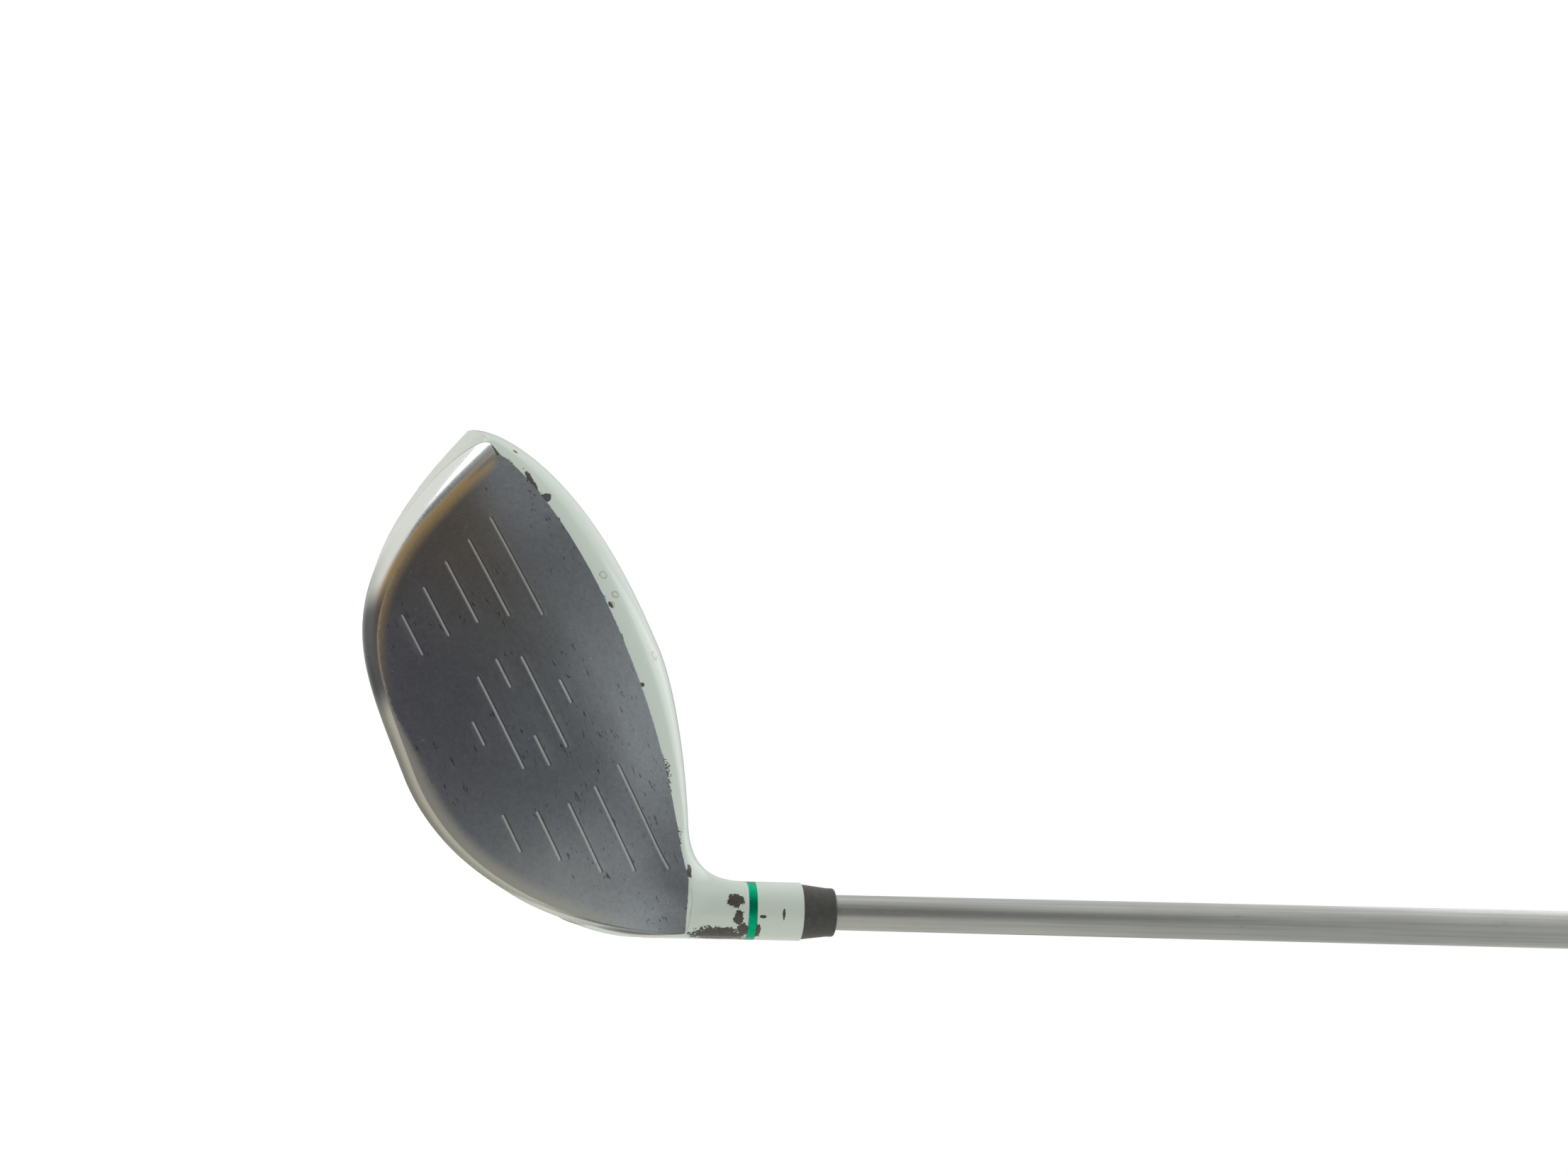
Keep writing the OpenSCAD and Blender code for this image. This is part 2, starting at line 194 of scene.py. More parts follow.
def melted(points):
    """Below 0 inside head and neck together. The fillet is wide on the crown and back, tight in front."""
    q = points - FOOT
    w = q @ ALONG
    u, v = q @ DOWN, q @ BACK
    r = np.hypot(u, v)
    radius = HOSEL_R - 0.02 * np.maximum(0, 42 - w) ** 2
    tube = r - radius
    head = head_distance(points)
    cu, cv = -u / np.maximum(r, 1e-6), v / np.maximum(r, 1e-6)
    wide = ease(cu * 1.2 + 0.25) * (1 - 0.35 * ease(-cv))
    wide = np.maximum(wide, 0.8 * ease(cv * 1.3 - 0.1))
    k = 2.0 + 12.0 * wide
    h = np.maximum(k - np.abs(head - tube), 0)
    return np.minimum(head, tube) - h * h / (4 * k)


def outward(points, steps=60):
    """Moves points away from the neck's core until they lie on the melted surface."""
    ray = points - NECK_CORE
    start = np.linalg.norm(ray, axis=1)
    ray = ray / start[:, None]
    t = start.copy()
    live = np.ones(len(points), bool)
    for _ in range(steps):
        if not live.any():
            break
        f = melted(NECK_CORE + ray[live] * t[live, None])
        t[live] -= 0.92 * f
        index = np.flatnonzero(live)
        live[index[np.abs(f) < 1e-3]] = False
    return NECK_CORE + ray * t[:, None]


def settle(points):
    """Puts the points that the neck reaches onto the melted surface, and leaves the others."""
    flat = points.reshape(-1, 3).copy()
    q = flat - FOOT
    w = q @ ALONG
    r = np.hypot(q @ DOWN, q @ BACK)
    near = (r < 26) & (w > 20) & (w < 72)
    if near.any():
        flat[near] = outward(flat[near])
    return flat.reshape(points.shape)


# Meshes
def vertex_normals(points, faces):
    out = np.zeros_like(points)
    f = np.asarray(faces)
    a, b, c = points[f[:, 0]], points[f[:, 1]], points[f[:, 2]]
    n = np.cross(b - a, c - a)
    if f.shape[1] == 4:
        d = points[f[:, 3]]
        n = np.cross(c - a, d - b)
    for k in range(f.shape[1]):
        np.add.at(out, f[:, k], n)
    size = np.linalg.norm(out, axis=1, keepdims=True)
    return out / np.maximum(size, 1e-12)


class Shape:
    """Points and faces that grow into one mesh object."""

    def __init__(self):
        self.points = np.zeros((0, 3))
        self.faces = []
        self.layers = {}

    def add(self, points, faces):
        base = len(self.points)
        self.points = np.vstack([self.points, points])
        self.faces += [tuple(int(i) + base for i in f) for f in faces]
        return np.arange(base, base + len(points))

    def skin(self, faces, core):
        """Adds the first faces with their outside away from the core, and returns the points' normals."""
        normals = vertex_normals(self.points, faces)
        if np.sum(normals * (self.points - core)) < 0:
            faces = faces[:, ::-1]
            normals = -normals
        self.faces = [tuple(f) for f in faces.tolist()]
        return normals

    def strip(self, first, second, closed=True, flip=False):
        """Joins two equal rows of points with quads."""
        n = len(first)
        for i in range(n if closed else n - 1):
            j = (i + 1) % n
            quad = (first[i], first[j], second[j], second[i])
            self.faces.append(tuple(int(k) for k in (quad[::-1] if flip else quad)))

    def away(self, loop, out):
        """+1 if out points away from the surface along the loop, or -1 if it points into it."""
        spot = {int(v): k for k, v in enumerate(loop)}
        side = 0.0
        for f in self.faces:
            for v in f:
                k = spot.get(v)
                if k is not None:
                    side += float((self.points[list(f)].mean(0) - self.points[v]) @ out[k])
        return -1 if side > 0 else 1

    def fold(self, loop, normals, depth, closed=True, crease=0.0):
        """Turns a free edge inward by depth, round over a crease or, with none, at a hard corner."""
        p = self.points[loop]
        n = normals[loop]
        along = np.roll(p, -1, 0) - np.roll(p, 1, 0) if closed else np.gradient(p, axis=0)
        along /= np.maximum(np.linalg.norm(along, axis=1, keepdims=True), 1e-9)
        out = np.cross(along, n)
        side = self.away(loop, out)
        out = out * side
        if crease:
            last = loop
            rows = ((0.35, 0.12), (0.75, 0.5), (0.93, 0.95))
        else:
            last = self.add(p - 0.006 * n, [])
            rows = ((0.0, 0.05),)
        for a, b in rows:
            row = self.add(p + out * crease * a - n * (crease or 1.0) * b, [])
            self.strip(last, row, closed, flip=side > 0)
            last = row
        row = self.add(p + out * crease * 0.93 - n * depth, [])
        self.strip(last, row, closed, flip=side > 0)

    def build(self, name, material, body, nodes, weld=0.0):
        mesh = bpy.data.meshes.new(name)
        mesh.from_pydata((self.points * MM).tolist(), [], self.faces)
        for layer, values in self.layers.items():
            attribute = mesh.attributes.new(layer, "FLOAT", "POINT")
            full = np.zeros(len(self.points), np.float32)
            full[: len(values)] = values
            attribute.data.foreach_set("value", full)
        mesh.validate()
        if weld:
            bm = bmesh.new()
            bm.from_mesh(mesh)
            bmesh.ops.remove_doubles(bm, verts=bm.verts, dist=weld * MM)
            bm.to_mesh(mesh)
            bm.free()
        mesh.polygons.foreach_set("use_smooth", [True] * len(mesh.polygons))
        piece = bpy.data.objects.new(name, mesh)
        bpy.context.scene.collection.objects.link(piece)
        mesh.materials.append(material)
        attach(piece, body)
        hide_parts(*nodes)


def inside(points, loop):
    """Which 2-D points lie inside a closed loop."""
    x, y = points[:, 0], points[:, 1]
    hit = np.zeros(len(points), bool)
    x0, y0 = loop[:, 0], loop[:, 1]
    x1, y1 = np.roll(x0, -1), np.roll(y0, -1)
    for a, b, c, d in zip(x0, y0, x1, y1):
        if b == d:
            continue
        crosses = (y < b) != (y < d)
        hit ^= crosses & (x < (c - a) * (y - b) / (d - b) + a)
    return hit


def clear_of(points, loops, gap):
    """Which points are further than gap from every loop's own points."""
    keep = np.ones(len(points), bool)
    for loop in loops:
        for start in range(0, len(loop), 64):
            part = loop[start : start + 64]
            d = np.hypot(*(points[:, None] - part[None]).transpose(2, 0, 1))
            keep &= d.min(1) > gap
    return keep


def filled(outer, holes, inner, gap, creases=()):
    """Triangles over a flat outline with holes. Returns flat points, triangles and each loop's points."""
    loops = [outer] + list(holes)
    pts = inner[inside(inner, outer)]
    for hole in holes:
        pts = pts[~inside(pts, hole)]
    pts = pts[clear_of(pts, loops + list(creases), gap)]
    flat, edges, index = [], [], []
    for loop in loops + list(creases):
        base = len(flat)
        flat += loop.tolist()
        n = len(loop)
        edges += [(base + i, base + (i + 1) % n) for i in range(n)]
        index.append(np.arange(base, base + n))
    flat += pts.tolist()
    made = geometry.delaunay_2d_cdt([Vector(p) for p in flat], edges, [], 0, 1e-6, True)
    points = np.array([tuple(p) for p in made[0]])
    where = np.zeros(len(flat), int)
    for new, old in enumerate(made[3]):
        for k in old:
            where[k] = new
    triangles = np.array([tuple(f) for f in made[2]])
    middle = points[triangles].mean(1)
    keep = inside(middle, outer)
    for hole in holes:
        keep &= ~inside(middle, hole)
    return points, triangles[keep], [where[i] for i in index[: len(loops)]]


def even(points, step, closed=False):
    """Parameter values, one per point of the given dense polyline, at equal steps of its length."""
    p = np.vstack([points, points[:1]]) if closed else points
    d = np.concatenate([[0], np.cumsum(np.linalg.norm(np.diff(p, axis=0), axis=1))])
    count = max(3, int(round(d[-1] / step)))
    return np.interp(np.linspace(0, d[-1], count + 1), d, np.arange(len(p)))


# Angles at even steps round the face's edge, starting and ending at the crown's middle
dense_a = np.arange(-270, 90.001, 0.05)
dense_edge = head_point(dense_a, 0 * dense_a)
EDGE_A = np.interp(even(dense_edge, 0.7), np.arange(len(dense_a)), dense_a)


def seam_at(a):
    """Depth of the polished band, in millimetres: it fades out at the top of the toe and at the heel."""
    t = np.mod(np.asarray(a, float) + 60, 360) - 60
    return BAND_DEPTH * np.where(t < 60, ease((4 - t) / 44), ease((t - 176) / 36))


def seam_g(a):
    return seam_at(a) / DEPTH


# Materials
class Nodes:
    """A short way to write the nodes of a world or a material."""

    def __init__(self, owner, ending):
        owner.use_nodes = True
        self.tree = owner.node_tree
        self.tree.nodes.clear()
        self.out = self.put(ending)

    def put(self, kind, **settings):
        node = self.tree.nodes.new(kind)
        for key, value in settings.items():
            setattr(node, key, value)
        return node

    def link(self, source, target):
        self.tree.links.new(source, target)

    def feed(self, socket, value):
        if isinstance(value, bpy.types.NodeSocket):
            self.link(value, socket)
        elif value is not None:
            socket.default_value = value

    def math_vector(self, operation, a, b=None, scale=None):
        node = self.put("ShaderNodeVectorMath", operation=operation)
        self.feed(node.inputs[0], a)
        self.feed(node.inputs[1], b)
        if scale is not None:
            self.feed(node.inputs["Scale"], scale)
        return node.outputs["Value" if operation in ("LENGTH", "DISTANCE", "DOT_PRODUCT") else 0]

    def math(self, operation, a, b=None, clamp=False):
        node = self.put("ShaderNodeMath", operation=operation, use_clamp=clamp)
        self.feed(node.inputs[0], a)
        self.feed(node.inputs[1], b)
        return node.outputs[0]

    def fold(self, operation, values):
        total = values[0]
        for value in values[1:]:
            total = self.math(operation, total, value)
        return total

    def times(self, *values):
        return self.fold("MULTIPLY", values)

    def plus(self, *values):
        return self.fold("ADD", values)

    def minus(self, a, b):
        return self.math("SUBTRACT", a, b)

    def step(self, value, low, high):
        """0 before low and 1 past high, with a smooth slope between them. low may be the greater one."""
        node = self.put("ShaderNodeMapRange", interpolation_type="SMOOTHSTEP")
        self.feed(node.inputs[0], value)
        node.inputs[1].default_value = low
        node.inputs[2].default_value = high
        return node.outputs[0]

    def ramp(self, value, *stops):
        """Stops are (position, colour), and a colour may be one grey number."""
        node = self.put("ShaderNodeValToRGB")
        self.feed(node.inputs[0], value)
        ramp = node.color_ramp
        while len(ramp.elements) < len(stops):
            ramp.elements.new(0.5)
        for element, (position, colour) in zip(ramp.elements, stops):
            element.position = position
            if isinstance(colour, (int, float)):
                colour = (colour, colour, colour)
            element.color = (*colour, 1.0)
        return node.outputs[0]

    def blend(self, factor, a, b, mode="MIX"):
        node = self.put("ShaderNodeMix", data_type="RGBA", blend_type=mode)
        self.feed(node.inputs["Factor"], factor)
        for socket, tone in ((node.inputs[6], a), (node.inputs[7], b)):
            self.feed(socket, tone if isinstance(tone, bpy.types.NodeSocket) else (*tone, 1.0))
        return node.outputs[2]

    def over(self, base, tone, mask, most=None):
        """The base with a tone laid over it where the mask says, and at most so strongly."""
        return self.blend(self.times(mask, most) if most else mask, base, tone)

    def overlay(self, amount, base, value, *stops):
        return self.blend(amount, base, self.ramp(value, *stops), mode="OVERLAY")

    def lerp(self, factor, a, b):
        node = self.put("ShaderNodeMix", data_type="FLOAT")
        self.feed(node.inputs["Factor"], factor)
        self.feed(node.inputs[2], a)
        self.feed(node.inputs[3], b)
        return node.outputs[0]


class Surface(Nodes):
    """A material, with places in millimetres."""

    def __init__(self, name):
        self.material = bpy.data.materials.new(name)
        super().__init__(self.material, "ShaderNodeOutputMaterial")
        self.shader = self.put("ShaderNodeBsdfPrincipled")
        self.link(self.shader.outputs[0], self.out.inputs[0])
        place = self.put("ShaderNodeTexCoord")
        self.place = self.math_vector("SCALE", place.outputs["Object"], scale=1 / MM)

    def noise(self, scale, detail=4.0, roughness=0.55, stretch=None, kind="ShaderNodeTexNoise", **settings):
        node = self.put(kind, **settings)
        place = self.math_vector("MULTIPLY", self.place, stretch) if stretch else self.place
        self.link(place, node.inputs["Vector"])
        node.inputs["Scale"].default_value = scale
        node.inputs["Detail"].default_value = detail
        node.inputs["Roughness"].default_value = roughness
        return node.outputs[0]

    def cells(self, scale, stretch=None):
        return self.noise(scale, stretch=stretch, kind="ShaderNodeTexVoronoi", feature="F1")

    def layer(self, name):
        return self.put("ShaderNodeAttribute", attribute_name=name).outputs["Fac"]

    def parts(self):
        """The place's three coordinates."""
        node = self.put("ShaderNodeSeparateXYZ")
        self.link(self.place, node.inputs[0])
        return node.outputs

    def turned(self, vector, degrees):
        """A vector turned about Y."""
        node = self.put("ShaderNodeVectorRotate", rotation_type="Y_AXIS")
        self.link(vector, node.inputs["Vector"])
        node.inputs["Angle"].default_value = math.radians(degrees)
        return node.outputs[0]

    def bump(self, height, distance, strength=1.0):
        node = self.put("ShaderNodeBump")
        node.inputs["Strength"].default_value = strength
        node.inputs["Distance"].default_value = distance * MM
        self.feed(node.inputs["Height"], height)
        self.link(node.outputs[0], self.shader.inputs["Normal"])

    def set(self, **values):
        for key, value in values.items():
            self.feed(self.shader.inputs[key.replace("_", " ")], value)
        return self.material


PAINT = (0.79, 0.86, 0.795)


def lapped_by_paint(n, base, rough):
    """Ends a metal under the neck's paint, which laps over it past a plane across the shaft."""
    along = n.math_vector("DOT_PRODUCT", n.math_vector("SUBTRACT", n.place, tuple(FOOT)), tuple(ALONG))
    painted = n.step(n.plus(along, n.times(n.noise(0.9), 0.35)), 51.5, 51.6)
    return n.set(
        Base_Color=n.over(base, PAINT, painted),
        Roughness=n.lerp(painted, rough, 0.2),
        Metallic=n.minus(1.0, painted),
    )


def face_metal():
    """Brushed face: fine grain from heel to toe, stains, scuffs and dark specks, with painted reflections in
    its broad tones, along its rim and on its score lines.
    """
    n = Surface("face_brushed")
    x, _, z = n.parts()
    grain = n.noise(9.0, stretch=(0.035, 1.0, 1.0), detail=6.0)
    fine = n.noise(26.0, stretch=(0.05, 1.0, 1.0), detail=3.0)
    cloud = n.noise(0.05, detail=3.0)
    mottle = n.noise(0.9, detail=6.0, roughness=0.7)

    # broad tones, all painted reflections: brown at the toe, blue low in the middle, pale low at the heel
    low = n.step(z, 40.0, 8.0)
    toe = n.times(n.step(x, 5.0, -52.0), n.step(z, 54.0, 38.0))
    middle = n.times(n.step(x, 30.0, -5.0), low, n.step(x, -60.0, -20.0))
    base = n.blend(toe, (0.205, 0.215, 0.232), (0.175, 0.152, 0.135))
    base = n.over(base, (0.165, 0.165, 0.195), middle)
    base = n.over(base, (0.33, 0.33, 0.325), n.times(n.step(x, 15.0, 58.0), low))
    base = n.overlay(0.65, base, cloud, (0.35, 0.46), (0.65, 0.54))
    base = n.overlay(0.22, base, grain, (0.3, 0.25), (0.7, 0.75))
    base = n.overlay(0.25, base, mottle, (0.35, 0.35), (0.65, 0.65))

    # dark specks, scratches along the grain and short light scuffs across it
    speck = n.times(n.step(n.cells(0.55), 0.16, 0.09), n.step(n.noise(0.13, detail=2.0), 0.5, 0.62))
    base = n.over(base, (0.03, 0.028, 0.03), speck, 0.7)
    worn = n.times(n.step(x, -15.0, 15.0), n.step(z, 24.0, 36.0), 0.7)
    where = n.math("ADD", n.step(n.noise(0.09, detail=1.0), 0.5, 0.6), worn, clamp=True)
    scratch = n.noise(1.1, stretch=(0.22, 1.0, 1.0), detail=2.0, roughness=0.9)
    base = n.over(base, (0.035, 0.035, 0.037), n.times(n.step(scratch, 0.635, 0.68), where), 0.75)
    scuff = n.noise(1.3, stretch=(1.0, 1.0, 0.25), detail=2.0, roughness=0.9)
    base = n.over(base, (0.42, 0.42, 0.42), n.step(scuff, 0.70, 0.74), 0.45)

    # painted reflections: the face made brighter under the crown, at the heel and at the top of the toe
    crown = n.times(n.step(z, 38.0, 54.0), n.step(x, -30.0, 5.0), n.step(x, 45.0, 20.0), 0.75)
    heel = n.times(n.step(x, 12.0, 50.0), n.step(z, 46.0, 34.0), 0.7)
    toe_top_reflection = n.times(n.step(x, -30.0, -50.0), n.step(z, 40.0, 50.0), 0.35)
    base = n.math_vector("SCALE", base, scale=n.plus(1.2, crown, heel, toe_top_reflection))

    # painted reflections along the rim, gold at the toe and beige along the sole; on each score line a
    # painted highlight on its lit side and painted shade on its shaded side
    rim = n.plus(n.layer("from_rim"), n.times(n.minus(mottle, 0.5), 1.6))
    base = n.over(base, (0.66, 0.46, 0.24), n.times(n.step(rim, 2.7, 0.1), n.step(x, -12.0, -38.0)), 0.8)
    reach = n.lerp(n.step(x, -18.0, 8.0), 0.7, 3.8)
    beige_reflection = n.times(n.step(n.math("DIVIDE", rim, reach), 1.0, 0.2), n.step(z, 36.0, 16.0))
    base = n.over(base, (0.66, 0.63, 0.55), beige_reflection, 0.75)
    base = n.over(base, (0.72, 0.72, 0.7), n.step(n.layer("groove_lit"), 0.3, 0.9), 0.6)
    base = n.over(base, (0.05, 0.048, 0.047), n.step(n.layer("groove_shade"), 0.2, 0.7), 0.75)

    n.bump(n.plus(n.times(grain, 0.6), n.times(fine, 0.4)), 0.02, 0.55)
    n.set(Anisotropic=0.55)
    return lapped_by_paint(n, base, n.plus(n.lerp(grain, 0.33, 0.5), n.times(speck, 0.2)))


def polished_metal():
    """Polished band, with painted reflections in its colour: a chrome-white one at the toe, a blue one below
    it, a beige one along the sole and a dark one at the heel.
    """
    n = Surface("band_polished")
    x, _, z = n.parts()
    from_face = n.layer("from_face")
    wave = n.noise(0.12, detail=3.0)
    pits = n.noise(1.6, detail=6.0, roughness=0.75)
    scuffs = n.noise(2.4, stretch=(0.15, 1.0, 1.0), detail=3.0)
    base = n.blend(n.step(wave, 0.35, 0.65), (0.62, 0.62, 0.63), (0.74, 0.74, 0.75))
    # painted reflections: white at the toe, dark at the heel, gold along the face's edge at the toe, beige
    # along the sole, blue below the toe's white, and bluish grey by the face's edge where the band runs high
    base = n.over(base, (0.93, 0.94, 0.95), n.times(n.step(x, -34.0, -42.0), n.step(z, 7.0, 15.0)))
    base = n.over(base, (0.15, 0.15, 0.16), n.step(x, 36.0, 52.0))
    gold_reflection = n.times(n.step(from_face, 2.6, 0.5), n.step(x, 0.0, -45.0), n.step(z, 62.0, 50.0))
    base = n.over(base, (0.62, 0.42, 0.2), gold_reflection)
    beige_reflection = n.times(n.step(x, -22.0, -10.0), n.step(x, 60.0, 46.0), n.step(z, 30.0, 10.0))
    base = n.over(base, (0.8, 0.77, 0.68), beige_reflection, 0.85)
    blue_reflection = n.times(n.step(from_face, 6.5, 4.0), n.step(x, -43.0, -35.0), n.step(x, -12.0, -20.0))
    base = n.over(base, (0.1, 0.107, 0.13), blue_reflection, 0.85)
    corner = n.times(n.step(from_face, 1.6, 0.5), n.step(z, 42.0, 50.0))
    base = n.over(base, (0.25, 0.29, 0.36), corner, 0.7)
    rough = n.plus(n.lerp(n.step(pits, 0.45, 0.75), 0.1, 0.34), n.times(n.step(scuffs, 0.62, 0.7), 0.12))
    n.bump(n.plus(n.times(pits, 0.35), n.times(wave, 1.2)), 0.06, 0.5)
    return lapped_by_paint(n, base, n.lerp(n.step(from_face, 2.4, 0.8), rough, 0.5))


def gloss_paint(name, chips, stains=(), edge=True):
    """White gloss paint with dust. Chips are (centre, half sizes, turn), stains are (centre, size)."""
    n = Surface(name)
    soft = tuple(c * f for c, f in zip(PAINT, (0.965, 0.985, 0.97)))
    base = n.blend(n.step(n.noise(0.035, detail=2.0), 0.3, 0.7), PAINT, soft)
    dirt = n.times(n.step(n.cells(1.2), 0.07, 0.03), n.step(n.noise(0.16, detail=1.0), 0.52, 0.6))
    base = n.over(base, (0.28, 0.27, 0.25), dirt, 0.55)
    ragged = n.noise(0.85, detail=5.0, roughness=0.62)
    torn = n.noise(2.6, roughness=0.6)
    for centre, size in stains:
        away = n.math("DIVIDE", n.math_vector("DISTANCE", n.place, centre), size)
        away = n.plus(away, n.times(n.minus(ragged, 0.5), 1.1))
        ring = n.times(n.step(away, 0.4, 0.7), n.step(away, 1.05, 0.85))
        base = n.over(base, (0.47, 0.44, 0.33), ring, 0.75)

    rim = n.plus(n.times(n.minus(ragged, 0.5), 1.5), n.times(n.minus(torn, 0.5), 0.9))
    bare = []
    for centre, half, turn in chips:
        q = n.math_vector("SUBTRACT", n.place, centre)
        q = n.math_vector("DIVIDE", n.turned(q, turn) if turn else q, half)
        bare.append(n.step(n.plus(n.math_vector("LENGTH", q), rim), 1.03, 0.97))
    if edge:
        patchy = n.math("POWER", n.step(n.noise(0.16, detail=2.0), 0.5, 0.72), 1.5)
        bite = n.plus(n.times(n.step(torn, 0.44, 0.62), patchy, 1.5), 0.05)
        bare.append(n.step(n.minus(n.layer("from_line"), bite), 0.04, -0.04))
    bare = n.fold("MAXIMUM", bare)

    rust = n.noise(1.3, detail=6.0, roughness=0.7)
    tones = (0.3, (0.05, 0.044, 0.038)), (0.55, (0.095, 0.085, 0.075)), (0.8, (0.17, 0.155, 0.14))
    metal = n.ramp(rust, *tones)
    gloss = n.lerp(n.step(n.noise(0.5, detail=5.0), 0.35, 0.75), 0.16, 0.24)
    height = n.minus(n.times(n.noise(0.8, detail=2.0), 0.18), n.times(bare, 1.6))
    n.bump(n.plus(height, n.times(torn, bare, 0.6)), 0.12, 0.7)
    return n.set(
        Base_Color=n.over(base, metal, bare),
        Roughness=n.lerp(bare, gloss, 0.62),
        Metallic=n.times(bare, 0.35),
        Coat_Weight=0.6,
        Coat_Roughness=0.06,
    )


def worn_metal(name, tone, rough, stretch=None, scale=1.2, metallic=1.0, spots=0.0):
    """Handled metal: clouds of a darker tone, brighter wear, fine grain and, if asked for, dark spots."""
    n = Surface(name)
    grain = n.noise(scale * 6, stretch=stretch, detail=5.0)
    dark = tuple(c * 0.72 for c in tone)
    light = tuple(c * 1.25 for c in tone)
    base = n.blend(n.step(n.noise(0.06, detail=3.0), 0.3, 0.7), dark, tone)
    base = n.over(base, light, n.step(n.noise(0.4, detail=6.0, roughness=0.7), 0.55, 0.75), 0.6)
    if spots:
        pit = n.times(n.step(n.cells(0.7), 0.14, 0.08), n.step(n.noise(0.11, detail=1.0), 0.52, 0.6))
        base = n.over(base, (0.03, 0.03, 0.03), pit, spots)
    n.bump(grain, 0.03, 0.4)
    return n.set(Base_Color=base, Roughness=n.lerp(grain, *rough), Metallic=metallic)


# Face
# Score lines in three groups: height along the face, then where the line starts and ends
TOE_LINES = [
    (-12.5, -32.3, -22.1),
    (-5.3, -36.2, -23.6),
    (2.0, -39.8, -23.7),
    (9.25, -42.6, -22.0),
    (16.5, -45.6, -19.0),
]
HEEL_LINES = [
    (-12.5, 19.2, 28.3),
    (-5.3, 22.1, 34.3),
    (2.0, 23.9, 41.4),
    (9.25, 23.2, 45.3),
    (16.5, 21.3, 49.2),
]
MIDDLE_LINES = [
    (-9.3, -2.85, 2.85),
    (-3.7, -11.7, 11.7),
    (1.9, -13.6, -6.6),
    (1.9, 6.3, 13.7),
    (7.4, -11.7, 11.7),
    (13.0, -2.85, 2.85),
]
SCORE_LINES = TOE_LINES + HEEL_LINES + MIDDLE_LINES
GROOVE_HALF, GROOVE_FLOOR, GROOVE_DEEP = 0.31, 0.1, 0.18
GROOVE_LEAN = 0.11  # the deepest line lies this far above the middle
BURR_TOP, BURR_END = 0.12, 0.3


def capsule(line, radius, step=0.55):
    """A closed loop round a score line, at the given distance."""
    v, x0, x1 = line
    xs = np.linspace(x0, x1, max(2, int((x1 - x0) / step)))
    turn = np.radians(np.linspace(-90, 90, 7)[1:-1])
    cap = np.stack([np.cos(turn), np.sin(turn)], -1) * radius
    low = np.stack([xs, np.full(len(xs), v - radius)], -1)
    high = np.stack([xs[::-1], np.full(len(xs), v + radius)], -1)
    return np.vstack([low, cap + [x1, v], high, -cap + [x0, v]])


def off_line(flat, line):
    """How far each point of the face lies from a score line, past its ends and above it."""
    v, x0, x1 = line
    return np.maximum(np.maximum(x0 - flat[:, 0], flat[:, 0] - x1), 0), flat[:, 1] - v


def groove_depth(flat):
    """How deep the score lines cut at each point, with a slight burr along their edges."""
    deep = np.zeros(len(flat))
    for line in SCORE_LINES:
        past, above = off_line(flat, line)
        reach = [GROOVE_HALF, GROOVE_HALF + BURR_TOP, GROOVE_HALF + BURR_END]
        burr = np.interp(np.hypot(past, above), reach, [0, 0.025, 0])
        floor = np.hypot(past, above - GROOVE_LEAN) < GROOVE_FLOOR + 0.01
        deep = np.where(floor, -GROOVE_DEEP, np.maximum(deep, burr) * (deep >= 0) + np.minimum(deep, 0))
    return deep


def face_outline():
    a = EDGE_A[:-1]
    s = np.cos(np.radians(a))
    return np.stack([edge_x(s), edge_v(s, np.mod(a, 360) <= 180)], -1)


def make_face():
    outer = face_outline()
    if double_area(outer) < 0:
        outer = outer[::-1]
    creases = []
    for line in SCORE_LINES:
        creases.append(capsule((line[0] + GROOVE_LEAN, line[1], line[2]), GROOVE_FLOOR))
        creases += [capsule(line, GROOVE_HALF + r) for r in (0, BURR_TOP, BURR_END)]
    xs, vs = np.meshgrid(np.arange(-61, 65, 1.7), np.arange(-38, 40, 1.7))
    flat, triangles, loops = filled(outer, [], np.stack([xs.ravel(), vs.ravel()], -1), 0.7, creases)
    out = np.array([0.0, -math.cos(LOFT), math.sin(LOFT)])
    shape = Shape()
    shape.points = settle(face_point(flat[:, 0], flat[:, 1])) + groove_depth(flat)[:, None] * out
    normals = shape.skin(triangles, CORE)
    side = np.zeros((2, len(flat)))
    for line in SCORE_LINES:
        past, above = off_line(flat, line)
        side[0] += np.hypot(past, above - GROOVE_LEAN) < GROOVE_FLOOR + 0.01
        side[1] += (np.hypot(past, above) < GROOVE_HALF + BURR_TOP + 0.01) & (above > 0.25)
    side[1] *= side[0] == 0
    shape.layers["groove_lit"], shape.layers["groove_shade"] = side
    rim = face_outline()[seam_at(EDGE_A[:-1]) > 3]
    shape.layers["from_rim"] = np.sqrt(((flat[:, None] - rim[None]) ** 2).sum(2).min(1))
    shape.fold(loops[0], normals, 1.2)
    shape.build("face_plate", face_metal(), "head", ["face_cup"])


# Polished band round the toe and the sole
def make_band():
    a = EDGE_A[seam_at(EDGE_A) > 0.12]
    rows = 18
    t = (np.linspace(0, 1, rows) ** 1.5)[:, None]
    g = t * (seam_at(a) - 0.10)[None] / DEPTH
    points = settle(head_point(np.broadcast_to(a[None], g.shape), g))
    shape = Shape()
    shape.points = points.reshape(-1, 3)
    normals = shape.skin(grid_faces(rows, len(a)), CORE)
    first = np.arange(len(a))
    last = first + (rows - 1) * len(a)
    shape.fold(last, normals, 1.4, closed=False, crease=0.08)
    shape.fold(first, normals, 0.6, closed=False)
    shape.layers["from_face"] = np.linalg.norm(points - points[:1], axis=2).ravel()
    shape.build("polished_band", polished_metal(), "head", ["face_cup"])


# Painted body: crown, neck and skirt in one skin, open over the sole plate and the screw port
U = 1.05  # millimetres per degree, for spacing points evenly


def flat_of(a, g):
    return np.stack(np.broadcast_arrays(np.asarray(a) * U, np.asarray(g) * DEPTH), -1)


def surface_at(flat):
    return head_point(flat[:, 0] / U, np.clip(flat[:, 1] / DEPTH, 0, 1))


